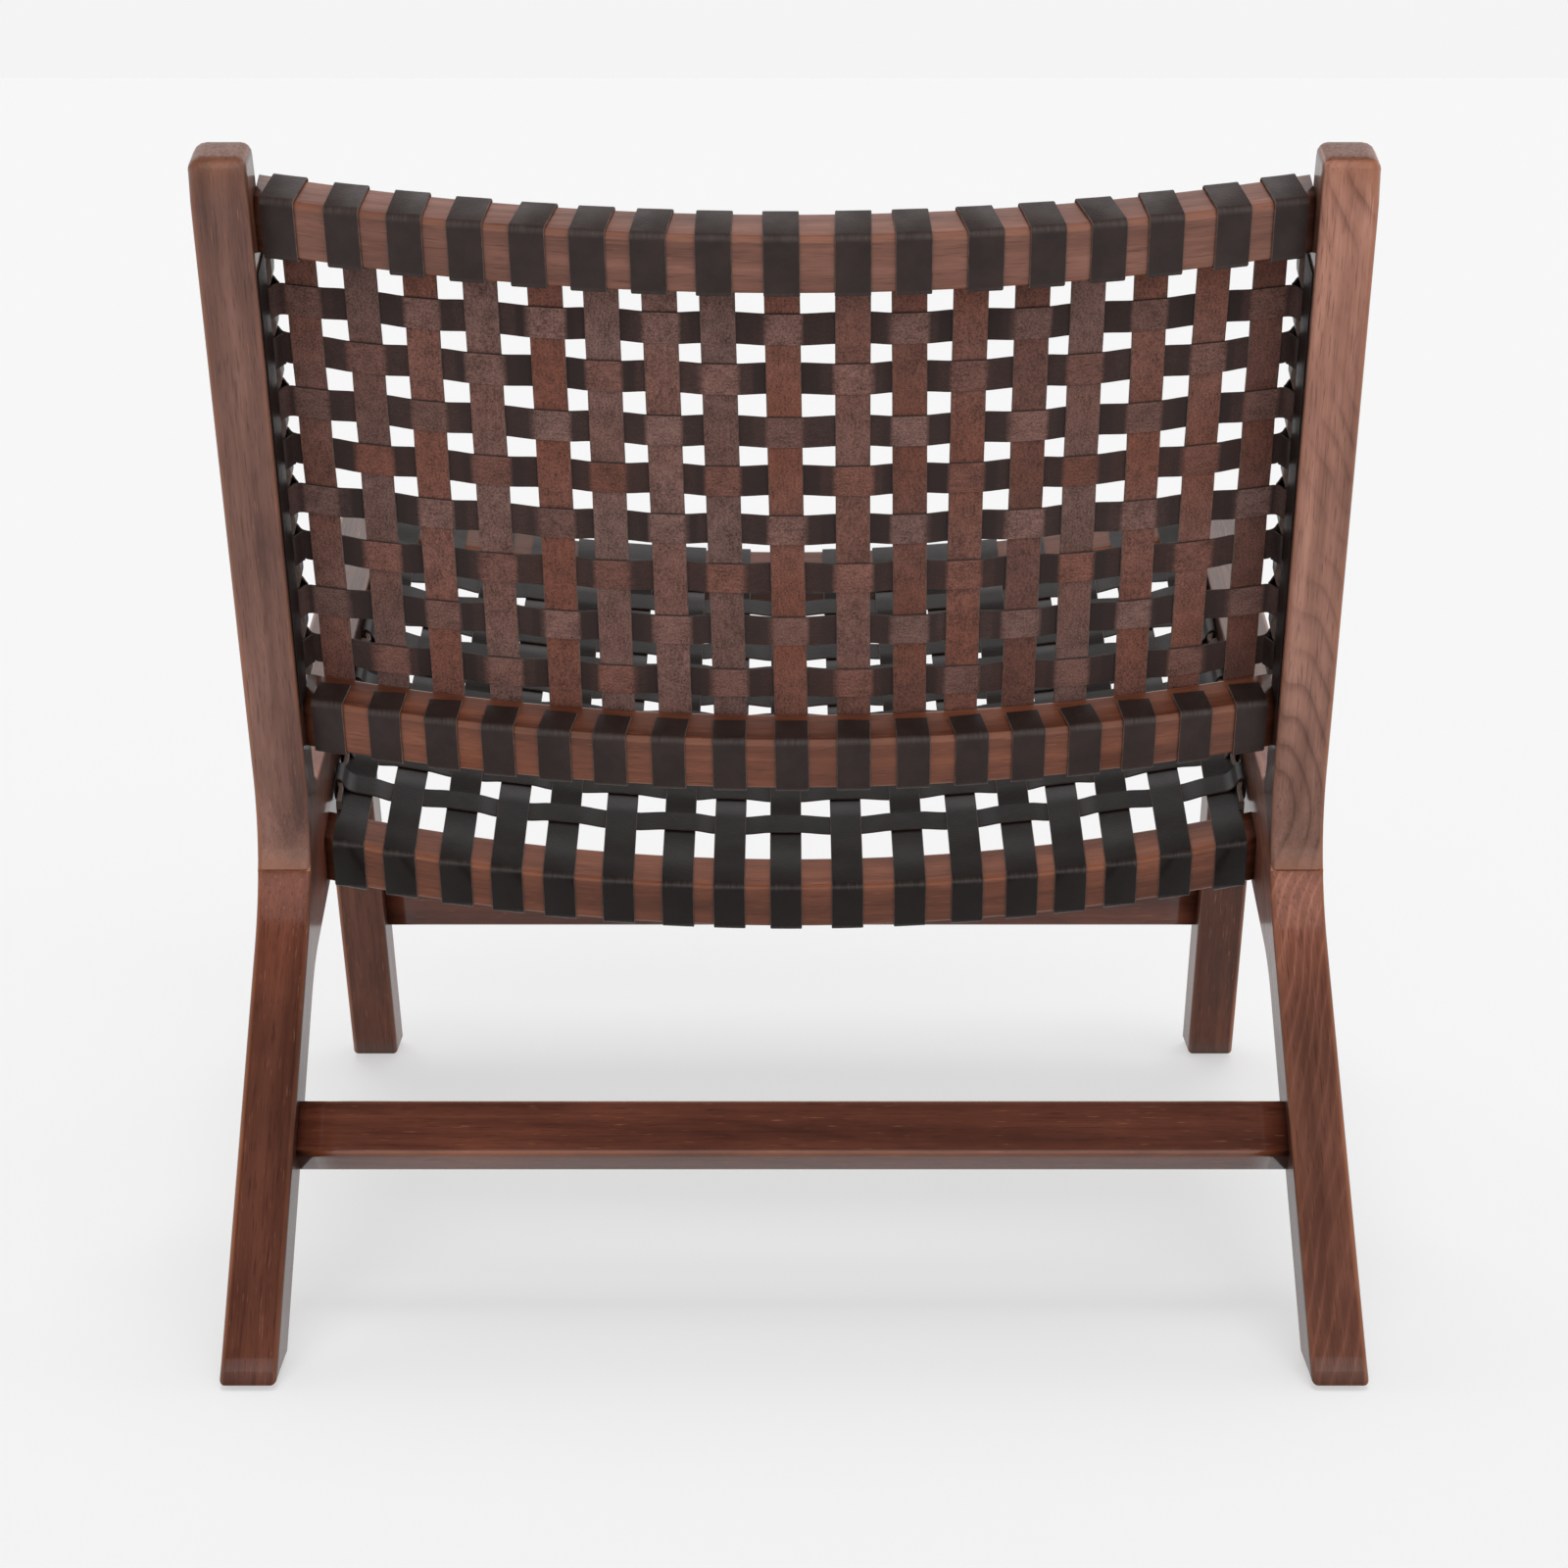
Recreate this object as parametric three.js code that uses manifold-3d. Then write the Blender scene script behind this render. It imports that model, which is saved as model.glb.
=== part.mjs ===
// Armless lounge chair: two wooden side frames, bowed rails, and a seat and back woven from leather straps.
// Millimetres. The chair is drawn in bench axes: X forward from the rear heel, Y up, Z across.
// The group at the end stands it up: front towards -Y, +Z up, the origin under the middle.
import * as THREE from 'three';
import { mergeVertices } from 'three/addons/utils/BufferGeometryUtils.js';
import Module from 'manifold-3d';

const wasm = await Module();
wasm.setup();

const degrees = Math.PI / 180;

// Driving dimensions
const chairWidth = 640;
const chairDepth = 718;
const boardThickness = 32;
const arris = 3;
const clearance = 0.3;

// Side frame, seen from the side
const kneeForward = 238;
const kneeHeight = 246;
const kneeRadius = 90;
const kneeSeam = 0.58;
const postRecline = 23 * degrees;
const postLength = 460;
const postDepth = 34;
const postTopFall = 3;
const postTopRadius = 8;
const rearLegDepth = 36;
const legSweepRadius = 100;
const frontHeel = 659;
const frontLegLean = 26.6 * degrees;
const frontLegDepth = 38;
const railTopForward = 288;
const railTopHeight = 293;
const railTopSlope = 13.9 * degrees;
const railRise = 210;
const railRun = 308;
const railUnderSlope = 19.2 * degrees;
const noseRadius = 14;
const throatRadius = 22;
const railJointForward = 356;

// Joints
const tenonLength = 18;
const tenonWidth = 16;
const tenonThickness = 10;
const backTenonIn = 24.5;
const postTenonLength = 30;
const postTenonWidth = 24;
const sideTenonLength = 24;
const sideTenonWidth = 34;
const legTenonLength = 27;
const legTenonWidth = 22;

// Bowed rails and straight stretchers
const railBreadth = 34;
const railDepth = 30.5;
const railRecess = 16;
const backBow = 39.5;
const seatBow = 33;
const backRailLow = 84;
const backRailSpan = 326;
const seatRearForward = 308;
const seatRearHeight = 236;
const seatSlope = 20 * degrees;
const seatRailSpan = 402;
const stretcherHeight = 36;
const stretcherDepth = 22;
const stretcherRecess = 13;
const rearStretcherAlong = 167;
const frontStretcherAlong = 129;

// Leather straps
const strapWidth = 20;
const strapThickness = 1.6;
const warpCount = 17;
const backWarpMargin = 13.5;
const seatWarpMargin = 15.5;
const backWeftCount = 8;
const backWeftPitch = 33.4;
const backWeftShift = -9;
const seatWeftCount = 11;
const seatWeftPitch = 31;
const seatWeftShift = -7.7;
const strapBendRadius = 3;
const strapTuck = 20;
const weftShoulder = 1.2;
const selvedgeWidth = 14;
const backSelvedgeInset = -2.5;
const seatSelvedgeInset = 0.5;

// Foot glides
const glideRadius = 9;
const glideHeight = 3;
const glidePinRadius = 1.6;
const glidePinLength = 14;

const innerHalfWidth = chairWidth / 2 - boardThickness;
const frameCentre = chairWidth / 2 - boardThickness / 2;

const wood = new THREE.MeshStandardMaterial({ color: 0x5a2f22, roughness: 0.42, metalness: 0 });
const warpLeather = new THREE.MeshStandardMaterial({ color: 0x2b2422, roughness: 0.5, metalness: 0 });
const weftLeather = new THREE.MeshStandardMaterial({ color: 0x3a2a25, roughness: 0.55, metalness: 0 });
const glidePlastic = new THREE.MeshStandardMaterial({ color: 0x2a2623, roughness: 0.6, metalness: 0 });

// Solids and booleans

function solidOf(geometry) {
  const bare = geometry.clone();
  bare.deleteAttribute('normal');
  bare.deleteAttribute('uv');
  const merged = mergeVertices(bare, 1e-4);
  return new wasm.Manifold(new wasm.Mesh({
    numProp: 3,
    vertProperties: new Float32Array(merged.attributes.position.array),
    triVerts: new Uint32Array(merged.index.array),
  }));
}

function geometryOf(solid) {
  const mesh = solid.getMesh();
  const geometry = new THREE.BufferGeometry();
  geometry.setAttribute('position', new THREE.BufferAttribute(new Float32Array(mesh.vertProperties), 3));
  geometry.setIndex(new THREE.BufferAttribute(new Uint32Array(mesh.triVerts), 1));
  return geometry;
}

// A box whose long axis leaves `from` at `angle` in the side view, from `back` behind that point to `length` ahead.
function pegBox(from, angle, back, length, width, thickness, across) {
  const box = new THREE.BoxGeometry(length + back, width, thickness);
  box.translate((length - back) / 2, 0, 0);
  box.rotateZ(angle);
  box.translate(from.x, from.y, across);
  return solidOf(box);
}

// Everything to the left of a line in the side view, held back from it by half the joint clearance.
function leftOf(point, angle) {
  const reach = 2 * chairDepth;
  const block = new THREE.BoxGeometry(2 * reach, reach, chairWidth);
  block.translate(0, reach / 2 + clearance / 2, 0);
  block.rotateZ(angle);
  block.translate(point.x, point.y, 0);
  return solidOf(block);
}

// Side view helpers

const point = (x, y) => new THREE.Vector2(x, y);
const along = (start, angle, distance) => point(
  start.x + distance * Math.cos(angle),
  start.y + distance * Math.sin(angle),
);

function crossing(a, angleA, b, angleB) {
  const between = Math.sin(angleB - angleA);
  const reach = ((b.x - a.x) * Math.sin(angleB) - (b.y - a.y) * Math.cos(angleB)) / between;
  return along(a, angleA, reach);
}

// Where the rounding of a corner starts, and where it ends.
function rounding(before, at, after, radius) {
  const inward = before.clone().sub(at).normalize();
  const onward = after.clone().sub(at).normalize();
  const halfAngle = Math.acos(THREE.MathUtils.clamp(inward.dot(onward), -1, 1)) / 2;
  const trim = radius / Math.tan(halfAngle);
  return [at.clone().addScaledVector(inward, trim), at.clone().addScaledVector(onward, trim)];
}

// A closed outline through corners, each rounded with its own radius.
function roundedOutline(corners) {
  const shape = new THREE.Shape();
  corners.forEach((corner, i) => {
    const before = corners[(i + corners.length - 1) % corners.length].at;
    const after = corners[(i + 1) % corners.length].at;
    const [start, end] = rounding(before, corner.at, after, corner.radius);
    if (i === 0) shape.moveTo(start.x, start.y);
    else shape.lineTo(start.x, start.y);
    if (corner.radius > 0) shape.quadraticCurveTo(corner.at.x, corner.at.y, end.x, end.y);
  });
  shape.closePath();
  return shape;
}

// A board or bar: the outline extruded to a thickness, centred, with its long arrises taken off.
function board(shape, thickness, curveSegments) {
  const geometry = new THREE.ExtrudeGeometry(shape, {
    depth: thickness - 2 * arris,
    curveSegments,
    bevelEnabled: true,
    bevelThickness: arris,
    bevelSize: arris,
    bevelOffset: -arris,
    bevelSegments: 1,
  });
  geometry.translate(0, 0, arris - thickness / 2);
  return geometry;
}

function barSection(height, depth) {
  const section = new THREE.Shape();
  section.moveTo(-depth / 2 + arris, -height / 2);
  section.lineTo(depth / 2 - arris, -height / 2);
  section.lineTo(depth / 2, -height / 2 + arris);
  section.lineTo(depth / 2, height / 2 - arris);
  section.lineTo(depth / 2 - arris, height / 2);
  section.lineTo(-depth / 2 + arris, height / 2);
  section.lineTo(-depth / 2, height / 2 - arris);
  section.lineTo(-depth / 2, -height / 2 + arris);
  section.closePath();
  return section;
}

// Side frame lines, all in the side view

const heel = point(0, 0);
const knee = point(kneeForward, kneeHeight);
const rearLegAngle = Math.atan2(kneeHeight, kneeForward);
const postAngle = Math.PI / 2 + postRecline;
const postFront = postAngle - Math.PI / 2;
const frontLegAngle = Math.PI / 2 + frontLegLean;
const postTopRear = along(knee, postAngle, postLength);
const postTopFront = along(along(knee, postAngle, postLength - postTopFall), postFront, postDepth);
const rearToe = point(rearLegDepth / Math.sin(rearLegAngle), 0);
const frontToe = point(frontHeel + frontLegDepth / Math.sin(frontLegAngle), 0);
const frontHeelAt = point(frontHeel, 0);
const railUnder = point(railRun, railRise);
const railTop = point(railTopForward, railTopHeight);
const noseTop = along(railTop, railTopSlope, (chairDepth - railTop.x) / Math.cos(railTopSlope));
const noseUnder = along(railUnder, railUnderSlope, (chairDepth - railUnder.x) / Math.cos(railUnderSlope));
const legSweep = crossing(rearToe, rearLegAngle, railUnder, railUnderSlope);
const frontLegRear = crossing(frontHeelAt, frontLegAngle, railUnder, railUnderSlope);
const frontLegFront = crossing(frontToe, frontLegAngle, railUnder, railUnderSlope);
const throat = crossing(postTopFront, postAngle, railTop, railTopSlope);
const kneeCurve = rounding(postTopRear, knee, heel, kneeRadius);
const kneeFace = new THREE.QuadraticBezierCurve(kneeCurve[0], knee, kneeCurve[1]).getPoint(kneeSeam);
const railJoint = along(railTop, railTopSlope, (railJointForward - railTop.x) / Math.cos(railTopSlope));
const railJointUnder = crossing(railJoint, railTopSlope + Math.PI / 2, railUnder, railUnderSlope);

const sideOutline = roundedOutline([
  { at: heel, radius: 0 },
  { at: rearToe, radius: 0 },
  { at: legSweep, radius: legSweepRadius },
  { at: frontLegRear, radius: 0 },
  { at: frontHeelAt, radius: 0 },
  { at: frontToe, radius: 0 },
  { at: frontLegFront, radius: 0 },
  { at: noseUnder, radius: noseRadius },
  { at: noseTop, radius: noseRadius },
  { at: throat, radius: throatRadius },
  { at: postTopFront, radius: postTopRadius },
  { at: postTopRear, radius: postTopRadius },
  { at: knee, radius: kneeRadius },
]);

// Places where a cross member meets the side frames: its centre and the slope of its section.

const backRailIn = railRecess + railDepth / 2;
const backTenonShift = backRailIn - backTenonIn;
const backLowAt = along(along(knee, postAngle, backRailLow), postFront, backRailIn);
const backHighAt = along(backLowAt, postAngle, backRailSpan);
const seatRearAt = point(seatRearForward, seatRearHeight);
const seatFrontAt = along(seatRearAt, seatSlope, seatRailSpan);
const stretcherIn = stretcherRecess + stretcherDepth / 2;
const rearStretcherAt = along(
  along(heel, rearLegAngle, rearStretcherAlong),
  rearLegAngle - Math.PI / 2,
  stretcherIn,
);
const frontStretcherAt = along(
  along(frontHeelAt, frontLegAngle, frontStretcherAlong),
  frontLegAngle - Math.PI / 2,
  stretcherIn,
);

// A cross member's tenon on one side, or with `spare` its mortise.
function crossTenon(at, angle, side, height, depth, spare) {
  const rooted = 2 * arris;
  const reach = tenonLength + spare;
  const box = new THREE.BoxGeometry(depth + 2 * spare, height + 2 * spare, reach + rooted);
  box.rotateZ(angle - Math.PI / 2);
  box.translate(at.x, at.y, side * (innerHalfWidth + (reach - rooted) / 2));
  return solidOf(box);
}

function crossMortise(at, angle, side, height, depth) {
  return crossTenon(at, angle, side, height, depth, clearance);
}

const stretcherTenonDepth = stretcherDepth - 4 * arris;

// The pin hole of a foot glide, straight up into a foot.
function glideHole(forward, side) {
  const hole = new THREE.CylinderGeometry(
    glidePinRadius + clearance,
    glidePinRadius + clearance,
    2 * (glidePinLength + clearance),
    10,
  );
  hole.translate(forward, 0, side * frameCentre);
  return solidOf(hole);
}

const rearGlideForward = rearToe.x / 2;
const frontGlideForward = (frontHeel + frontToe.x) / 2;

// One side frame as four boards joined by mortise and tenon.
function sideFrame(side, name) {
  const across = side * frameCentre;
  const blank = board(sideOutline, boardThickness, 5);
  blank.translate(0, 0, across);
  const whole = solidOf(blank);

  const postCut = Math.atan2(throat.y - kneeFace.y, throat.x - kneeFace.x);
  const postCutMiddle = kneeFace.clone().add(throat).multiplyScalar(0.5);
  const railCut = railTopSlope + Math.PI / 2;
  const railCutMiddle = railJoint.clone().add(railJointUnder).multiplyScalar(0.5);
  const legCutMiddle = frontLegRear.clone().add(frontLegFront).multiplyScalar(0.5);

  const peg = (from, angle, length, width, spare) => pegBox(
    from,
    angle,
    2 * arris,
    length + spare,
    width + 2 * spare,
    tenonThickness + 2 * spare,
    across,
  );
  const postTenon = (spare) => peg(postCutMiddle, postAngle + Math.PI, postTenonLength, postTenonWidth, spare);
  const railTenon = (spare) => peg(railCutMiddle, railTopSlope + Math.PI, sideTenonLength, sideTenonWidth, spare);
  const legTenon = (spare) => peg(legCutMiddle, frontLegAngle, legTenonLength, legTenonWidth, spare);
  const mortise = (at, angle) => crossMortise(at, angle, side, tenonWidth, tenonThickness);
  const backMortise = (at) => mortise(along(at, postFront, -backTenonShift), postAngle);

  // The post's foot stands on a face from the knee to the throat; the leg below the knee is not part of it.
  const post = whole.intersect(leftOf(postCutMiddle, postCut))
    .intersect(leftOf(kneeFace, 0))
    .add(postTenon(0))
    .subtract(backMortise(backLowAt))
    .subtract(backMortise(backHighAt));

  const below = whole.intersect(leftOf(postCutMiddle, postCut + Math.PI).add(leftOf(kneeFace, Math.PI)));
  const rearLeg = below.intersect(leftOf(railCutMiddle, railCut))
    .subtract(postTenon(clearance))
    .subtract(railTenon(clearance))
    .subtract(mortise(seatRearAt, seatSlope))
    .subtract(crossMortise(rearStretcherAt, rearLegAngle, side, tenonWidth, stretcherTenonDepth))
    .subtract(glideHole(rearGlideForward, side));

  const ahead = below.intersect(leftOf(railCutMiddle, railCut + Math.PI));
  const rail = ahead.intersect(leftOf(legCutMiddle, railUnderSlope))
    .add(railTenon(0))
    .subtract(legTenon(clearance))
    .subtract(mortise(seatFrontAt, seatSlope));

  const frontLeg = ahead.intersect(leftOf(legCutMiddle, railUnderSlope + Math.PI))
    .add(legTenon(0))
    .subtract(crossMortise(frontStretcherAt, frontLegAngle, side, tenonWidth, stretcherTenonDepth))
    .subtract(glideHole(frontGlideForward, side));

  const group = new THREE.Group();
  group.add(piece(`back_post_${name}`, geometryOf(post), wood));
  group.add(piece(`rear_leg_${name}`, geometryOf(rearLeg), wood));
  group.add(piece(`seat_side_rail_${name}`, geometryOf(rail), wood));
  group.add(piece(`front_leg_${name}`, geometryOf(frontLeg), wood));
  return group;
}

function piece(name, geometry, material) {
  const mesh = new THREE.Mesh(geometry, material);
  mesh.name = name;
  return mesh;
}

// Straight stretcher with a tenon at each end.
function stretcher(name, at, angle) {
  const length = 2 * (innerHalfWidth - clearance);
  const bar = new THREE.ExtrudeGeometry(barSection(stretcherHeight, stretcherDepth), {
    depth: length,
    bevelEnabled: false,
  });
  bar.translate(0, 0, -length / 2);
  bar.rotateZ(angle - Math.PI / 2);
  bar.translate(at.x, at.y, 0);
  const solid = solidOf(bar)
    .add(crossTenon(at, angle, 1, tenonWidth, stretcherTenonDepth, 0))
    .add(crossTenon(at, angle, -1, tenonWidth, stretcherTenonDepth, 0));
  return piece(name, geometryOf(solid), wood);
}

// A woven panel: two bowed rails, warps wrapped round both, and wefts woven across.
// Its own axes: X across, Y towards the sitter, Z from the first rail to the second. The origin is on the
// axis of the bow, so a point of the panel lies at an angle round that axis and at a radius from it.

const strapGrip = strapThickness + clearance;

function bowedPanel({
  name, firstRail, secondRail, at, angle, span, bow, tenonShift,
  warpMargin, weftCount, weftPitch, weftShift, selvedgeInset,
}) {
  const bowRadius = (innerHalfWidth ** 2 + bow ** 2) / (2 * bow);
  const endDepth = bowRadius - bow;
  const panel = new THREE.Group();
  panel.setRotationFromMatrix(new THREE.Matrix4().makeBasis(
    new THREE.Vector3(0, 0, 1),
    new THREE.Vector3(Math.cos(angle - Math.PI / 2), Math.sin(angle - Math.PI / 2), 0),
    new THREE.Vector3(Math.cos(angle), Math.sin(angle), 0),
  ));
  panel.position.set(
    at.x + endDepth * Math.cos(angle - Math.PI / 2),
    at.y + endDepth * Math.sin(angle - Math.PI / 2),
    0,
  );

  const around = (radius, turn) => point(radius * Math.sin(turn), -radius * Math.cos(turn));

  // Rail: a band of the bow, trimmed to the inner faces of the side frames, with tenons.
  const railAt = (z) => {
    const turn = Math.asin(innerHalfWidth / bowRadius) * 1.06;
    const band = new THREE.Shape();
    band.absarc(0, 0, bowRadius + railDepth / 2, -Math.PI / 2 - turn, -Math.PI / 2 + turn, false);
    band.absarc(0, 0, bowRadius - railDepth / 2, -Math.PI / 2 + turn, -Math.PI / 2 - turn, true);
    band.closePath();
    const trim = new THREE.BoxGeometry(2 * (innerHalfWidth - clearance), 4 * bowRadius, 4 * railBreadth);
    let solid = solidOf(board(band, railBreadth, 12)).intersect(solidOf(trim));
    for (const side of [-1, 1]) {
      const tenon = new THREE.BoxGeometry(tenonLength + 2 * arris, tenonThickness, tenonWidth);
      tenon.translate(side * (innerHalfWidth + tenonLength / 2 - arris), -endDepth - tenonShift, 0);
      solid = solid.add(solidOf(tenon));
    }
    const geometry = geometryOf(solid);
    geometry.translate(0, 0, z);
    return geometry;
  };
  panel.add(piece(firstRail, railAt(0), wood));
  panel.add(piece(secondRail, railAt(span), wood));

  // Warp: one strap, flat on the sitter's side of both rails, bent round each of them and tucked in.
  const warpPitch = 2 * (innerHalfWidth - warpMargin) / (warpCount - 1);
  const warpAcross = (k) => (k - (warpCount - 1) / 2) * warpPitch;
  const warpGeometry = warpStrap(bowRadius, span);
  for (let k = 0; k < warpCount; k += 1) {
    const geometry = laidAcross(warpGeometry, warpAcross(k));
    panel.add(piece(`${name}_warp_${String(k + 1).padStart(2, '0')}`, geometry, warpLeather));
  }

  // Wefts and the two straps on edge that carry their ends, joined into one lattice.
  const warpRadius = bowRadius - railDepth / 2 - clearance - strapThickness / 2;
  const selvedgeAcross = innerHalfWidth - selvedgeInset - strapThickness / 2;
  const selvedgeTurn = Math.asin(selvedgeAcross / warpRadius);
  let lattice = null;
  for (const side of [-1, 1]) {
    const length = span - railBreadth - 2 * clearance;
    const edge = new THREE.BoxGeometry(strapThickness, selvedgeWidth, length);
    edge.translate(side * selvedgeAcross, -warpRadius * Math.cos(selvedgeTurn), span / 2);
    lattice = lattice ? lattice.add(solidOf(edge)) : solidOf(edge);
  }
  for (let row = 0; row < weftCount; row += 1) {
    const path = weftPath(row, warpAcross, warpRadius, selvedgeTurn);
    const shape = new THREE.Shape([
      ...path.map(({ turn, radius }) => around(radius + strapThickness / 2, turn)),
      ...path.toReversed().map(({ turn, radius }) => around(radius - strapThickness / 2, turn)),
    ]);
    const weft = new THREE.ExtrudeGeometry(shape, { depth: strapWidth, bevelEnabled: false });
    const rowAt = span / 2 + weftShift + (row - (weftCount - 1) / 2) * weftPitch;
    weft.translate(0, 0, rowAt - strapWidth / 2);
    lattice = lattice.add(solidOf(weft));
  }
  panel.add(piece(`${name}_weft_lattice`, geometryOf(lattice), weftLeather));
  return panel;
}

// Where a weft runs: over and under the warps in turn, from selvedge to selvedge.
function weftPath(row, warpAcross, warpRadius, selvedgeTurn) {
  const flat = (strapWidth / 2 + weftShoulder) / warpRadius;
  const path = [{ turn: -selvedgeTurn, radius: warpRadius }];
  for (let k = 0; k < warpCount; k += 1) {
    const turn = Math.asin(warpAcross(k) / warpRadius);
    const radius = warpRadius + ((row + k) % 2 === 0 ? -strapGrip : strapGrip);
    path.push({ turn: turn - flat, radius }, { turn: turn + flat, radius });
  }
  path.push({ turn: selvedgeTurn, radius: warpRadius });
  return path;
}

// The strap seen edge-on is a long C whose two hooks go round the rails, drawn from tuck to tuck.
function warpStrap(bowRadius, span) {
  const bend = strapBendRadius + clearance;
  const deep = railDepth / 2 + clearance - bend;
  const broad = railBreadth / 2 + clearance - bend;
  const tuckEnd = strapTuck - railDepth / 2 - clearance;
  const turns = [
    { rail: span, y: -deep, z: -broad, from: 180 },
    { rail: span, y: -deep, z: broad, from: 270 },
    { rail: span, y: deep, z: broad, from: 0 },
    { rail: 0, y: deep, z: -broad, from: 90 },
    { rail: 0, y: -deep, z: -broad, from: 180 },
    { rail: 0, y: -deep, z: broad, from: 270 },
  ];
  const side = (radius) => {
    const points = [point(span - broad - radius, tuckEnd)];
    turns.forEach(({ rail, y, z, from }) => {
      [0, 45, 90].forEach((step) => {
        const turn = (from + step) * degrees;
        points.push(point(rail + z + radius * Math.cos(turn), y + radius * Math.sin(turn)));
      });
    });
    points.push(point(broad + radius, tuckEnd));
    return points;
  };
  const shape = new THREE.Shape([...side(bend), ...side(bend + strapThickness).toReversed()]);
  const strap = new THREE.ExtrudeGeometry(shape, { depth: strapWidth, bevelEnabled: false });
  strap.translate(0, 0, -strapWidth / 2);
  strap.applyMatrix4(new THREE.Matrix4().makeBasis(
    new THREE.Vector3(0, 0, 1),
    new THREE.Vector3(0, 1, 0),
    new THREE.Vector3(-1, 0, 0),
  ));
  strap.translate(0, -bowRadius, 0);
  return strap;
}

// A strap at its place across the panel: it runs straight from front to rear and lies flat on the bow.
function laidAcross(strap, across) {
  const laid = strap.clone();
  const position = laid.attributes.position;
  for (let i = 0; i < position.count; i += 1) {
    const off = position.getX(i);
    const radius = -position.getY(i);
    const turn = Math.asin(across / radius);
    position.setX(i, across + off * Math.cos(turn));
    position.setY(i, off * Math.sin(turn) - radius * Math.cos(turn));
  }
  return laid;
}

// Nail-on glide: a disc under the foot with a pin up into it.
function footGlide(name, forward, side) {
  const profile = [
    point(0, -glideHeight),
    point(glideRadius - arris / 2, -glideHeight),
    point(glideRadius, -glideHeight / 2),
    point(glideRadius, -clearance),
    point(glidePinRadius, -clearance),
    point(glidePinRadius, glidePinLength),
    point(0, glidePinLength),
  ];
  const glide = piece(name, new THREE.LatheGeometry(profile, 16), glidePlastic);
  glide.position.set(forward, 0, side * frameCentre);
  return glide;
}

const chair = new THREE.Group();
for (const [side, name] of [[-1, 'left'], [1, 'right']]) {
  chair.add(sideFrame(side, name));
  chair.add(footGlide(`rear_foot_glide_${name}`, rearGlideForward, side));
  chair.add(footGlide(`front_foot_glide_${name}`, frontGlideForward, side));
}
chair.add(stretcher('rear_stretcher', rearStretcherAt, rearLegAngle));
chair.add(stretcher('front_stretcher', frontStretcherAt, frontLegAngle));
chair.add(bowedPanel({
  name: 'back',
  firstRail: 'back_bottom_rail',
  secondRail: 'back_top_rail',
  at: backLowAt,
  angle: postAngle,
  span: backRailSpan,
  bow: backBow,
  tenonShift: backTenonShift,
  warpMargin: backWarpMargin,
  weftCount: backWeftCount,
  weftPitch: backWeftPitch,
  weftShift: backWeftShift,
  selvedgeInset: backSelvedgeInset,
}));
chair.add(bowedPanel({
  name: 'seat',
  firstRail: 'seat_front_rail',
  secondRail: 'seat_rear_rail',
  at: seatFrontAt,
  angle: seatSlope + Math.PI,
  span: seatRailSpan,
  bow: seatBow,
  tenonShift: 0,
  warpMargin: seatWarpMargin,
  weftCount: seatWeftCount,
  weftPitch: seatWeftPitch,
  weftShift: seatWeftShift,
  selvedgeInset: seatSelvedgeInset,
}));

// Bench axes to the part's own: forward is -Y, up is +Z, across is -X.
chair.setRotationFromMatrix(new THREE.Matrix4().makeBasis(
  new THREE.Vector3(0, -1, 0),
  new THREE.Vector3(0, 0, 1),
  new THREE.Vector3(-1, 0, 0),
));
chair.updateMatrixWorld(true);
const extent = new THREE.Box3().setFromObject(chair, true);
const middle = extent.getCenter(new THREE.Vector3());
chair.position.set(-middle.x, -middle.y, -extent.min.z);

export default chair;
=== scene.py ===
import math
import random

import bpy
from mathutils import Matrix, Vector


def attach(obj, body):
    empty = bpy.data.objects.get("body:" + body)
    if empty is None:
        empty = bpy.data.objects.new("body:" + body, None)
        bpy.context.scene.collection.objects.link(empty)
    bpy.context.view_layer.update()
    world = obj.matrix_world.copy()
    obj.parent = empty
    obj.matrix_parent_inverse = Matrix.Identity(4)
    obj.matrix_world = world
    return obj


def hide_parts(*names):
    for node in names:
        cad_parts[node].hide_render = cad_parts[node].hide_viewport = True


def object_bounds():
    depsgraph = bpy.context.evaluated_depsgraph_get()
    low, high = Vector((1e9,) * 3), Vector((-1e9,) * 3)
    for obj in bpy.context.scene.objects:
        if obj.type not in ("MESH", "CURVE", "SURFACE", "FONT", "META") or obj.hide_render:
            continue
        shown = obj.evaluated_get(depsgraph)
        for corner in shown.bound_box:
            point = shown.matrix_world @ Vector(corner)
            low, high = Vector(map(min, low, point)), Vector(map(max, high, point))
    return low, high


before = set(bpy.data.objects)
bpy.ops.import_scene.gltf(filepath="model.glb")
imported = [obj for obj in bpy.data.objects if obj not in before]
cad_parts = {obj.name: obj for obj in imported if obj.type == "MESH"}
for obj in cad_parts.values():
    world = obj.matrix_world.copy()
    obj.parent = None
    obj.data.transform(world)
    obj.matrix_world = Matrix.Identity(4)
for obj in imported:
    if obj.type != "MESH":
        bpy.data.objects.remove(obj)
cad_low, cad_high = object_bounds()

MM = 0.001
chance = random.Random(11)

# Sizes repeated from the part
chair_width = 640
chair_depth = 718
board_thickness = 32
knee_forward, knee_height, knee_radius, knee_seam = 238, 246, 90, 0.58
post_recline = math.radians(23)
post_length, post_depth, post_top_fall, post_top_radius = 460, 34, 3, 8
rear_leg_depth = 36
leg_sweep_radius = 100
front_heel = 659
front_leg_lean = math.radians(26.6)
front_leg_depth = 38
rail_top_forward, rail_top_height = 288, 293
rail_top_slope = math.radians(13.9)
rail_run, rail_rise = 308, 210
rail_under_slope = math.radians(19.2)
nose_radius = 14
throat_radius = 22
rail_joint_forward = 356
rail_breadth, rail_depth, rail_recess = 34, 30.5, 16
back_bow, seat_bow = 39.5, 33
back_rail_low, back_rail_span = 84, 326
seat_rear_forward, seat_rear_height = 308, 236
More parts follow.
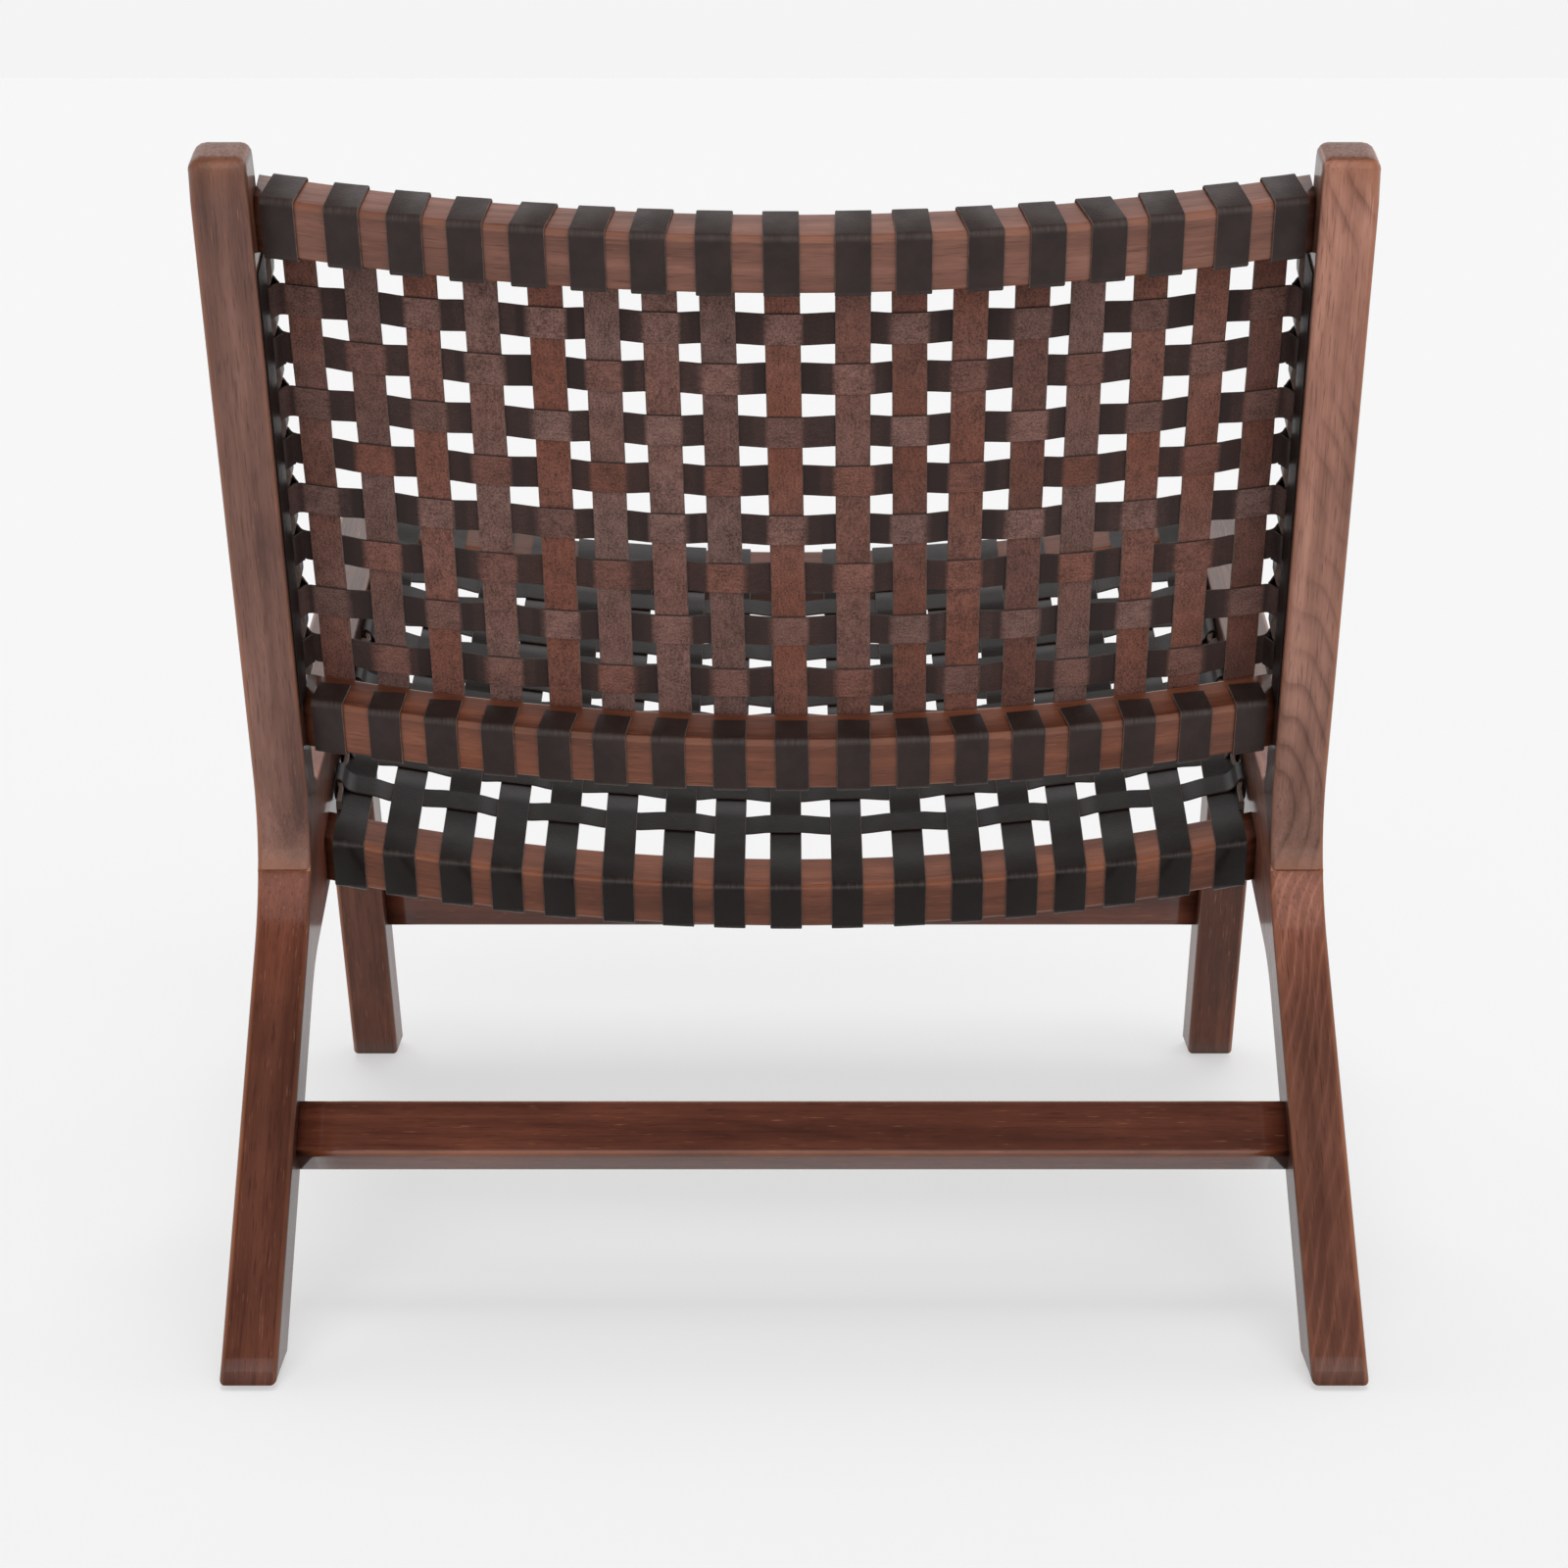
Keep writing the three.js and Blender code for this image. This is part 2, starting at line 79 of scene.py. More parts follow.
seat_slope = math.radians(20)
seat_rail_span = 402
stretcher_height, stretcher_depth, stretcher_recess = 36, 22, 13
rear_stretcher_along, front_stretcher_along = 167, 129
warp_count = 17
back_warp_margin, seat_warp_margin = 13.5, 15.5
back_weft_count, back_weft_pitch, back_weft_shift = 8, 33.4, -9
seat_weft_count, seat_weft_pitch, seat_weft_shift = 11, 31, -7.7
strap_tuck, strap_gap = 20, 0.3
glide_height = 3

# Sizes of the dressed pieces
arris = 3.2
strap_width, strap_thickness = 19.8, 1.35
loop_thickness = 1.2
bend_radius = 2.6
warp_lift, weft_lift = 0.55, 0.83
warp_flat, weft_flat, settle_run = 9.8, strap_width / 2 + 0.6, 30
selvedge_width, selvedge_thickness, selvedge_in, selvedge_slack = 12.5, 3.2, 3.4, 2.4
back_loop_out, seat_loop_out = 5.0, 0
# The dark strip that paints the shade on the posts' inner faces: its thickness and its clearance from the
# rails.
shade_strip_thickness = 0.8
shade_strip_clear = 4
rail_chamfer, chamfer_soft, bar_wear = 3.0, 0.6, 0.6
outer_top_radius, inner_top_radius = 8, 6
spot_reach, inner_wear = 16, 0.35
hairline = 0.15
lean, lean_level = 0.0081, 400

# How finely the pieces are cut up along their length
ROUND_STEPS = (0, 22.5, 45, 67.5, 90)
board_step, warp_step, weft_step, selvedge_step, shade_strip_step = 18, 4, 2.5, 4, 8
stretcher_stations, rail_stations = 24, 48

# Camera in millimetres and degrees, and the grey levels of the studio
camera_lens, camera_shift = 85.5, -0.0028
camera_behind, camera_height, camera_dip = 1953.86, 763.45, 12.088
floor_half = 30
floor_grey, floor_seen_grey, floor_glow = 0.66, 0.40, 0.500
near_grey, far_grey, horizon_grey = 0.16, 0.90, 0.905
softbox_gain, ceiling_share = 0.4, 0.2

inner_half = chair_width / 2 - board_thickness
frame_centre = chair_width / 2 - board_thickness / 2
heel_y = cad_high.y / MM


def bench(forward, up, across):
    """Bench millimetres to the part's metres. The chair in the photo stands a hair out of square sideways."""
    racked = across + lean * (lean_level - up)
    return Vector((-racked, heel_y - forward, up + glide_height)) * MM


# Materials


def node_tree(owner, output_kind):
    """An empty node tree for a material or the world, and its output."""
    owner.use_nodes = True
    owner.node_tree.nodes.clear()
    return owner.node_tree, owner.node_tree.nodes.new(output_kind)


def material(name):
    made = bpy.data.materials.new(name)
    tree, output = node_tree(made, "ShaderNodeOutputMaterial")
    shader = tree.nodes.new("ShaderNodeBsdfPrincipled")
    tree.links.new(shader.outputs["BSDF"], output.inputs["Surface"])
    return made, tree, shader


def plug(tree, value, socket):
    """A number, a colour or another node's output into a socket."""
    if hasattr(value, "is_linked"):
        tree.links.new(value, socket)
    else:
        socket.default_value = value


def attribute(tree, name, kind="Fac"):
    node = tree.nodes.new("ShaderNodeAttribute")
    node.attribute_name = name
    return node.outputs[kind]


def math_node(tree, operation, first, second=0.0, limited=False):
    node = tree.nodes.new("ShaderNodeMath")
    node.operation = operation
    node.use_clamp = limited
    plug(tree, first, node.inputs[0])
    plug(tree, second, node.inputs[1])
    return node.outputs[0]


def add(tree, first, second):
    return math_node(tree, "ADD", first, second)


def times(tree, first, second):
    return math_node(tree, "MULTIPLY", first, second)


def stretched(tree, vector, scale):
    node = tree.nodes.new("ShaderNodeVectorMath")
    node.operation = "MULTIPLY"
    plug(tree, vector, node.inputs[0])
    node.inputs[1].default_value = scale
    return node.outputs[0]


def noise(tree, vector, scale, detail=3.0, roughness=0.55):
    node = tree.nodes.new("ShaderNodeTexNoise")
    plug(tree, vector, node.inputs["Vector"])
    node.inputs["Scale"].default_value = scale
    node.inputs["Detail"].default_value = detail
    node.inputs["Roughness"].default_value = roughness
    return node.outputs["Fac"]


def cells(tree, vector, scale):
    node = tree.nodes.new("ShaderNodeTexVoronoi")
    node.feature = "SMOOTH_F1"
    plug(tree, vector, node.inputs["Vector"])
    node.inputs["Scale"].default_value = scale
    return node.outputs["Distance"]


def ramp(tree, value, stops):
    node = tree.nodes.new("ShaderNodeValToRGB")
    plug(tree, value, node.inputs["Fac"])
    elements = node.color_ramp.elements
    while len(elements) < len(stops):
        elements.new(0.5)
    for element, (place, colour) in zip(elements, stops):
        element.position = place
        element.color = (*colour, 1) if hasattr(colour, "__len__") else (colour, colour, colour, 1)
    return node.outputs["Color"]


def mix(tree, factor, first, second, blend="MIX"):
    node = tree.nodes.new("ShaderNodeMix")
    node.data_type = "RGBA"
    node.blend_type = blend
    plug(tree, factor, node.inputs["Factor"])
    for value, socket in ((first, node.inputs["A"]), (second, node.inputs["B"])):
        plug(tree, (*value, 1) if isinstance(value, tuple) else value, socket)
    return node.outputs["Result"]


def surface(tree, shader, colour, roughness, relief, distance, strength, settings=None):
    """Colour, roughness and a fine relief into the shader, and plain numbers onto its other sockets."""
    plug(tree, colour, shader.inputs["Base Color"])
    plug(tree, roughness, shader.inputs["Roughness"])
    bump = tree.nodes.new("ShaderNodeBump")
    bump.inputs["Strength"].default_value = strength
    bump.inputs["Distance"].default_value = distance
    plug(tree, relief, bump.inputs["Height"])
    tree.links.new(bump.outputs["Normal"], shader.inputs["Normal"])
    for label, value in (settings or {}).items():
        shader.inputs[label].default_value = value


def shaded(tint, shade):
    return tuple(t * s for t, s in zip(tint, shade))


def wood_material(name, tint, figure, coat, slope=0.05, ring_pitch=0.0085, least=0.1):
    """Satin-oiled hardwood round a middle colour: broad bands, growth rings, fibre, pores and worn arrises.

    `figure` is how strongly the rings show (below zero: pale lines), `slope` how fast they run out along the
    board, and `least` how much of them stays in quiet zones. Noise is stretched along the grain.
    """
    made, tree, shader = material(name)
    grain = attribute(tree, "grain", "Vector")
    split = tree.nodes.new("ShaderNodeSeparateXYZ")
    tree.links.new(grain, split.inputs[0])
    wander = noise(tree, stretched(tree, grain, (4.5, 18, 18)), 1.0, 2.0)
    across = times(tree, split.outputs["Y"], split.outputs["Y"])
    through = times(tree, split.outputs["Z"], split.outputs["Z"])
    radius = math_node(tree, "SQRT", add(tree, across, through))
    tilted = add(tree, radius, times(tree, split.outputs["X"], slope))
    wandered = add(tree, tilted, times(tree, wander, 0.030))
    ring = math_node(tree, "FRACT", times(tree, wandered, 1 / ring_pitch))
    rings = ramp(tree, ring, [(0, 0.42), (0.25, 0.62), (0.66, 0.52), (0.93, 0.05), (1, 0.42)])
    fibre = noise(tree, stretched(tree, grain, (11, 620, 620)), 1.0, 4.0, 0.7)
    band = noise(tree, stretched(tree, grain, (2.2, 75, 75)), 1.0, 2.0)
    pores = noise(tree, stretched(tree, grain, (55, 1100, 1100)), 1.0, 2.0)
    cloud = noise(tree, stretched(tree, grain, (9, 30, 30)), 1.0, 4.0, 0.6)
    tone = times(tree, ramp(tree, fibre, [(0.34, 0.0), (0.66, 1.0)]), 0.13)
    for layer, share in ((band, 0.30), (cloud, 0.34)):
        tone = add(tree, tone, times(tree, ramp(tree, layer, [(0.32, 0.0), (0.68, 1.0)]), share))
    quiet = noise(tree, stretched(tree, grain, (7, 9, 9)), 1.0, 1.0)
    zone = ramp(tree, quiet, [(0.42, least), (0.56, 1.0)])
    lines = times(tree, math_node(tree, "SUBTRACT", rings, 0.5), zone)
    tone = add(tree, tone, times(tree, lines, figure))
    tone = add(tree, tone, 0.10)
    shades = (
        (0.12, (0.40, 0.34, 0.32)),
        (0.40, (0.80, 0.78, 0.77)),
        (0.58, (1.10, 1.12, 1.13)),
        (0.90, (1.75, 1.95, 2.05)),
    )
    colour = ramp(tree, tone, [(place, shaded(tint, shade)) for place, shade in shades])
    pore_mask = ramp(tree, pores, [(0.33, 1.0), (0.42, 0.0)])
    colour = mix(tree, times(tree, pore_mask, 0.5), colour, shaded(tint, (0.30, 0.24, 0.22)))
    fleck = ramp(tree, pores, [(0.66, 0.0), (0.74, 0.55)])
    colour = mix(tree, fleck, colour, (0.36, 0.15, 0.075))
    # Painted light and shade stored on the boards: darker inner faces, and light and shade along the legs.
    colour = mix(tree, 1.0, colour, attribute(tree, "painted_light_and_tone", "Color"), "MULTIPLY")
    worn = times(tree, attribute(tree, "edge"), ramp(tree, cloud, [(0.3, 0.25), (0.6, 0.75)]))
    colour = mix(tree, worn, colour, (0.30, 0.102, 0.043))
    end_colour = ramp(tree, fibre, [(0.3, (0.085, 0.029, 0.018)), (0.7, (0.235, 0.102, 0.069))])
    colour = mix(tree, attribute(tree, "end"), colour, end_colour)
    roughness = ramp(tree, fibre, [(0.3, 0.50), (0.7, 0.38)])
    relief = math_node(tree, "SUBTRACT", times(tree, fibre, 0.6), pore_mask)
    settings = {"IOR": 1.30, "Coat Weight": coat, "Coat Roughness": 0.11, "Coat IOR": 1.38}
    surface(tree, shader, colour, roughness, relief, 0.0002, 0.35, settings)
    return made


def leather_grain_material(name, dark, light, specular, coat=0.0):
    """Smooth side of the strap: nearly black, fine pebble, a soft waxed sheen, and rubbed wear with a painted
    highlight in streaks on the bends.
    """
    made, tree, shader = material(name)
    place = attribute(tree, "grain", "Vector")
    pebble = cells(tree, place, 900)
    fine = noise(tree, place, 2600, 2.0)
    patch = noise(tree, place, 60, 4.0, 0.6)
    bend_streaks = noise(tree, stretched(tree, place, (90, 700, 700)), 1.0, 3.0)
    colour = mix(tree, ramp(tree, patch, [(0.35, 0.0), (0.7, 1.0)]), dark, light)
    # Lighter streaks on the bends round the rails: rubbed wear and a painted highlight.
    wear_and_highlight = times(tree, attribute(tree, "bend"), ramp(tree, bend_streaks, [(0.35, 0.12), (0.7, 0.38)]))
    colour = mix(tree, wear_and_highlight, colour, (0.115, 0.090, 0.082))
    roughness = ramp(tree, patch, [(0.3, 0.46), (0.7, 0.37)])
    relief = add(tree, times(tree, pebble, 0.8), times(tree, fine, 0.3))
    settings = {"Specular IOR Level": specular, "Coat Weight": coat, "Coat Roughness": 0.16}
    surface(tree, shader, colour, roughness, relief, 0.0003, 0.4, settings)
    return made


def leather_flesh_material(name):
    """Suede side: napped brown that varies from strap to strap, darker where a strap dips from the light."""
    made, tree, shader = material(name)
    place = attribute(tree, "grain", "Vector")
    nap = noise(tree, place, 900, 4.0, 0.75)
    fibre = noise(tree, stretched(tree, place, (160, 700, 700)), 1.0, 4.0, 0.7)
    patch = noise(tree, place, 95, 4.0, 0.6)
    brown = mix(tree, attribute(tree, "tone"), (0.262, 0.090, 0.058), (0.290, 0.166, 0.145))
    mottled = add(tree, times(tree, nap, 0.85), times(tree, patch, 0.30))
    mottled = add(tree, mottled, times(tree, fibre, 0.30))
    colour = mix(tree, ramp(tree, mottled, [(0.56, 0.97), (0.86, 0.0)]), brown, (0.046, 0.020, 0.014))
    colour = mix(tree, attribute(tree, "dip"), colour, (0.026, 0.0155, 0.0142))
    relief = add(tree, nap, times(tree, fibre, 0.6))
    settings = {"Specular IOR Level": 0.25, "Sheen Weight": 0.12, "Sheen Roughness": 0.5}
    surface(tree, shader, colour, 0.92, relief, 0.0005, 0.6, settings)
    return made


def leather_edge_material(name, dark, light):
    """Cut edge of the strap: burnished, with layered fibre."""
    made, tree, shader = material(name)
    place = attribute(tree, "grain", "Vector")
    fibre = noise(tree, stretched(tree, place, (200, 1600, 1600)), 1.0, 3.0)
    colour = ramp(tree, fibre, [(0.3, dark), (0.7, light)])
    surface(tree, shader, colour, 0.7, fibre, 0.0002, 0.5)
    return made


def glide_material():
    """Moulded foot glide: grey-brown plastic with fine speckle and scuffs."""
    made, tree, shader = material("glide_plastic")
    place = tree.nodes.new("ShaderNodeTexCoord").outputs["Object"]
    speckle = noise(tree, place, 1400, 3.0)
    colour = ramp(tree, speckle, [(0.3, (0.030, 0.026, 0.023)), (0.75, (0.085, 0.075, 0.066))])
    roughness = ramp(tree, speckle, [(0.3, 0.45), (0.7, 0.65)])
    surface(tree, shader, colour, roughness, speckle, 0.0002, 0.4)
    return made


def glue_material():
    """Thin line of squeezed-out glue, amber against the wood."""
    made, tree, shader = material("glue_line")
    place = attribute(tree, "grain", "Vector")
    bead = noise(tree, place, 420, 2.0)
    colour = ramp(tree, bead, [(0.3, (0.26, 0.080, 0.034)), (0.7, (0.50, 0.20, 0.095))])
    surface(tree, shader, colour, 0.22, bead, 0.0004, 0.5)
    return made


post_wood = {
    -1: wood_material("post_wood_left", (0.172, 0.078, 0.057), 0.12, 0.6),
    1: wood_material("post_wood_right", (0.312, 0.142, 0.099), 0.58, 0.6, 0.28, 0.0075),
}
leg_wood = {
    -1: wood_material("leg_wood_left", (0.128, 0.039, 0.022), 0.16, 0.45),
    1: wood_material("leg_wood_right", (0.168, 0.060, 0.037), -0.46, 0.45, 0.20, 0.0055, 0.5),
}
side_wood = wood_material("side_wood", (0.088, 0.034, 0.022), 0.14, 0.6)
front_wood = wood_material("front_wood", (0.122, 0.041, 0.023), 0.14, 0.3)
rail_wood = wood_material("rail_wood", (0.196, 0.080, 0.055), 0.14, 0.5)
low_rail_wood = wood_material("low_rail_wood", (0.168, 0.053, 0.027), 0.14, 0.5)
stretcher_wood = wood_material("stretcher_wood", (0.108, 0.029, 0.0150), 0.22, 0.95, 0.08)
end_wood = wood_material("end_wood", (0.120, 0.050, 0.034), 0.10, 0.25)
grain_leather = leather_grain_material(
    "strap_grain", (0.0235, 0.0142, 0.0124), (0.036, 0.0224, 0.0198), 0.21)
# The seat's straps: a much darker copy of the strap leather, as painted shade.
seat_shaded_leather = leather_grain_material(
    "seat_shaded_grain", (0.0080, 0.0048, 0.0042), (0.0120, 0.0074, 0.0065), 0.10, 0.25)
flesh_leather = leather_flesh_material("strap_suede")
edge_leather = leather_edge_material("strap_cut_edge", (0.045, 0.027, 0.021), (0.150, 0.100, 0.080))
# The wefts' cut edges: a darker copy of the strap's cut edge, as painted shade.
weft_shaded_edge_leather = leather_edge_material("weft_shaded_cut_edge", (0.016, 0.009, 0.007), (0.042, 0.024, 0.018))
# Near-black leather for the strip that paints the shade on the posts' inner faces.
shade_strip_leather = leather_grain_material(
    "shade_strip_grain", (0.008, 0.0062, 0.0058), (0.014, 0.0110, 0.0105), 0.12)
selvedge_leather = leather_grain_material(
    "selvedge_grain", (0.010, 0.0082, 0.0078), (0.018, 0.0150, 0.0145), 0.45)
glide_plastic = glide_material()
glue = glue_material()


# Mesh helpers


def new_object(name, data):
    obj = bpy.data.objects.new(name, data)
    bpy.context.scene.collection.objects.link(obj)
    return obj


def build(name, points, faces, materials, face_slots=None, floats=None, grain=None, weighted=False):
    """A mesh object that rides with the chair, with its finish data stored on its points."""
    mesh = bpy.data.meshes.new(name)
    mesh.from_pydata([tuple(p) for p in points], [], faces)
    for slot in materials:
        mesh.materials.append(slot)
    if face_slots:
        mesh.polygons.foreach_set("material_index", face_slots)
    for label, values in (floats or {}).items():
        mesh.attributes.new(label, "FLOAT", "POINT").data.foreach_set("value", values)
    if grain:
        flat = [value for triple in grain for value in triple]
        mesh.attributes.new("grain", "FLOAT_VECTOR", "POINT").data.foreach_set("vector", flat)
    mesh.polygons.foreach_set("use_smooth", [True] * len(mesh.polygons))
    mesh.validate()
    mesh.update()
    obj = new_object(name, mesh)
    if weighted:
        normals = obj.modifiers.new("flat_faces", "WEIGHTED_NORMAL")
        normals.keep_sharp = True
    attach(obj, "root")
    return obj


def tube(rings, count):
    """Faces of the wall round a row of rings, each of `count` points."""
    quads = []
    for low in range(0, (rings - 1) * count, count):
        for i in range(count):
            j = (i + 1) % count
            quads.append((low + i, low + j, low + count + j, low + count + i))
    return quads


def clamp(t):
    return max(0.0, min(1.0, t))


def smooth(t):
    t = clamp(t)
    return t * t * (3 - 2 * t)


def point(x, y):
    return Vector((x, y))


def heading(angle):
    return Vector((math.cos(angle), math.sin(angle)))


def along(start, angle, distance):
    return start + distance * heading(angle)


def crossing(a, angle_a, b, angle_b):
    between = math.sin(angle_b - angle_a)
    reach = ((b.x - a.x) * math.sin(angle_b) - (b.y - a.y) * math.cos(angle_b)) / between
    return along(a, angle_a, reach)


def rounding(before, at, after, radius):
    inward = (before - at).normalized()
    onward = (after - at).normalized()
    half_angle = math.acos(max(-1, min(1, inward.dot(onward)))) / 2
    trim = radius / math.tan(half_angle)
    return at + inward * trim, at + onward * trim


def bezier(start, control, end, t):
    return start * (1 - t) ** 2 + control * 2 * t * (1 - t) + end * t ** 2


def rounded_outline(corners):
    ring = []
    for i, (at, radius) in enumerate(corners):
        before = corners[i - 1][0]
        after = corners[(i + 1) % len(corners)][0]
        if radius == 0:
            ring.append(at)
            continue
        start, end = rounding(before, at, after, radius)
        steps = 6 if radius < 50 else 16
        ring.extend(bezier(start, at, end, n / steps) for n in range(steps + 1))
    return ring


# Side frame outline, cut into its four boards

heel = point(0, 0)
knee = point(knee_forward, knee_height)
rear_leg_angle = math.atan2(knee_height, knee_forward)
post_angle = math.pi / 2 + post_recline
post_front = post_angle - math.pi / 2
front_leg_angle = math.pi / 2 + front_leg_lean
post_top_rear = along(knee, post_angle, post_length)
post_top_front = along(along(knee, post_angle, post_length - post_top_fall), post_front, post_depth)
rear_toe = point(rear_leg_depth / math.sin(rear_leg_angle), 0)
front_heel_at = point(front_heel, 0)
front_toe = point(front_heel + front_leg_depth / math.sin(front_leg_angle), 0)
rail_under = point(rail_run, rail_rise)
rail_top = point(rail_top_forward, rail_top_height)
nose_top = along(rail_top, rail_top_slope, (chair_depth - rail_top.x) / math.cos(rail_top_slope))
nose_under = along(rail_under, rail_under_slope, (chair_depth - rail_under.x) / math.cos(rail_under_slope))
leg_sweep = crossing(rear_toe, rear_leg_angle, rail_under, rail_under_slope)
front_leg_rear = crossing(front_heel_at, front_leg_angle, rail_under, rail_under_slope)
front_leg_front = crossing(front_toe, front_leg_angle, rail_under, rail_under_slope)
throat = crossing(post_top_front, post_angle, rail_top, rail_top_slope)
knee_start, knee_end = rounding(post_top_rear, knee, heel, knee_radius)
knee_face = bezier(knee_start, knee, knee_end, knee_seam)
rail_joint = along(rail_top, rail_top_slope, (rail_joint_forward - rail_top.x) / math.cos(rail_top_slope))
rail_joint_under = crossing(rail_joint, rail_top_slope + math.pi / 2, rail_under, rail_under_slope)

side_outline = rounded_outline([
    (heel, 0),
    (rear_toe, 0),
    (leg_sweep, leg_sweep_radius),
    (front_leg_rear, 0),
    (front_heel_at, 0),
    (front_toe, 0),
    (front_leg_front, 0),
    (nose_under, nose_radius),
    (nose_top, nose_radius),
    (throat, throat_radius),
    (post_top_front, post_top_radius),
    (post_top_rear, post_top_radius),
    (knee, knee_radius),
])


def with_point(ring, at):
    """The ring with a point added on its nearest edge, and that point's place in it."""
    for i, (corner, _) in enumerate(ring):
        if (corner - at).length < 0.05:
            return ring, i
    nearest, place = 1e9, 0
    for i, (corner, _) in enumerate(ring):
        onward = ring[(i + 1) % len(ring)][0] - corner
        t = max(0, min(1, (at - corner).dot(onward) / onward.length_squared))
        gap = (corner + onward * t - at).length
        if gap < nearest:
            nearest, place = gap, i
    added = ring[:place + 1] + [(at, ring[place][1])] + ring[place + 1:]
    return added, place + 1


def split_ring(ring, first, second):
    """Cut a ring along a chord: the part from first round to second, and the rest. Cut edges are flagged."""
    ring, _ = with_point(ring, first)
    ring, _ = with_point(ring, second)
    _, start = with_point(ring, first)
    ring = ring[start:] + ring[:start]
    _, end = with_point(ring, second)
    near = ring[:end] + [(ring[end][0], True)]
    far = ring[end:] + [(ring[0][0], True)]
    return near, far


def ray_hit(ring, start, towards):
    """Where a ray from a point on the ring first leaves it again."""
    onward = (towards - start).normalized()
    best = None
    for i, (corner, _) in enumerate(ring):
        edge = ring[(i + 1) % len(ring)][0] - corner
        cross = onward.x * edge.y - onward.y * edge.x
        if abs(cross) < 1e-9:
            continue
        gap = corner - start
        reach = (gap.x * edge.y - gap.y * edge.x) / cross
        t = (gap.x * onward.y - gap.y * onward.x) / cross
        if reach > 5 and 0 <= t <= 1 and (best is None or reach < best):
            best = reach
    return start + onward * best


whole_ring = [(corner, False) for corner in side_outline]
throat_face = ray_hit(whole_ring, knee_face, throat)
post_ring, rest_ring = split_ring(whole_ring, throat_face, knee_face)
front_ring, leg_ring = split_ring(rest_ring, rail_joint_under, rail_joint)
front_leg_ring, side_rail_ring = split_ring(front_ring, front_leg_rear, front_leg_front)


def refine(ring, longest):
    """Long straight edges get extra points, so that finish data and roundings can vary along them."""
    fine = []
    for i, (corner, cut) in enumerate(ring):
        onward = ring[(i + 1) % len(ring)][0] - corner
        steps = 1 if cut else max(1, math.ceil(onward.length / longest))
        fine.extend((corner + onward * (n / steps), cut) for n in range(steps))
    return fine


def inward_steps(ring):
    """For each corner, the move that brings the outline in by one. At a cut it runs along the cut."""
    count = len(ring)
    moves = []
    for i, (corner, cut_after) in enumerate(ring):
        before, cut_before = ring[i - 1]
        after = ring[(i + 1) % count][0]
        edge_in = (corner - before).normalized()
        edge_out = (after - corner).normalized()
        normal_in = Vector((-edge_in.y, edge_in.x))
        normal_out = Vector((-edge_out.y, edge_out.x))
        if cut_after:
            moves.append(edge_out / max(0.3, normal_in.dot(edge_out)))
        elif cut_before:
            moves.append(-edge_in / max(0.3, normal_out.dot(-edge_in)))
        else:
            moves.append((normal_in + normal_out) / max(0.4, 1 + normal_in.dot(normal_out)))
    return moves


def board(name, node, ring, side, angle, pith, finish, inner_shade=1.0, painted_light_and_tone=None, rounding_at=None, tinted_spots=()):
    """One board of a side frame: its outline through the thickness, with rounded arrises.

    `pith` is how far the tree's middle lies across and through the board in metres. The inner factor darkens
    the inner face as painted shade, the foot-to-top function scales the colour along the board (painted light
    and shade on the legs), and the spots are points round which the faces take the arris colour.
    """
    ring = refine(ring, board_step)
    moves = inward_steps(ring)
    direction = heading(angle)
    sideways = Vector((-direction.y, direction.x))
    shift = chance.uniform(0, 3)
    centre = sum((corner.dot(sideways) for corner, _ in ring)) / len(ring)
    foot = min(corner.dot(direction) for corner, _ in ring)
    run = max(corner.dot(direction) for corner, _ in ring) - foot
    points, edge, end, grain, light_and_tone_values = [], [], [], [], []
    levels = [(-1, step) for step in reversed(ROUND_STEPS)] + [(1, step) for step in ROUND_STEPS]
    for face, step in levels:
        turn = math.radians(step)
        for (corner, _), move in zip(ring, moves):
            radius = rounding_at(corner, face) if rounding_at else arris
            at = corner + move * radius * (1 - math.cos(turn))
            deep = face * (board_thickness / 2 - radius * (1 - math.sin(turn)))
            points.append(bench(at.x, at.y, side * (frame_centre + deep)))
            # Near the given spots the faces take the arris colour, fading out over a short reach.
            spot_tint = max([0.0] + [1.1 - (corner - tint_spot).length / spot_reach for tint_spot in tinted_spots])
            wear_and_highlight = 1.0 if face > 0 else inner_wear
            edge.append(wear_and_highlight if 0 < step < 90 else min(1.0, spot_tint))
            end.append(0.0)
            share = (at.dot(direction) - foot) / run
            # Painted shade on the inner face, times the foot-to-top factor.
            shade = painted_light_and_tone(share) if painted_light_and_tone else 1.0
            light_and_tone_values.append(shade * (inner_shade if face < 0 and step > 60 else 1.0))
            grain.append((
                at.dot(direction) * MM + shift,
                (at.dot(sideways) - centre) * MM + pith[0],
                deep * MM + pith[1],
            ))
    count = len(ring)
    faces = tube(len(levels), count)
    last = (len(levels) - 1) * count
    faces.append(tuple(reversed(range(count))))
    faces.append(tuple(range(last, last + count)))
    if side < 0:
        faces = [tuple(reversed(face)) for face in faces]
    # End grain shows where the wall of the board faces along the fibres.
    for i, (corner, _) in enumerate(ring):
        before = ring[i - 1][0]
        after = ring[(i + 1) % count][0]
        wall = (after - before).normalized()
        shown = clamp((abs(wall.dot(sideways)) - 0.90) / 0.08)
        for level in range(len(levels)):
            end[level * count + i] = shown if 3 <= level <= len(levels) - 4 else 0.0
    floats = {"edge": edge, "end": end, "painted_light_and_tone": light_and_tone_values}
    face_slots = [1 if max(end[v] for v in face) > 0.5 and len(face) == 4 else 0 for face in faces]
    obj = build(name, points, faces, [finish, end_wood], face_slots, floats, grain, weighted=True)
    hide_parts(node)


def post_rounding(corner, face):
    """The arrises of a post swell into bigger rounds at the top of the post, the outer one most."""
    below = (post_top_rear - corner).dot(heading(post_angle))
    blend = clamp(1 - (below - 6) / 30)
    top_radius = outer_top_radius if face > 0 else inner_top_radius
    return arris + (top_radius - arris) * blend * blend


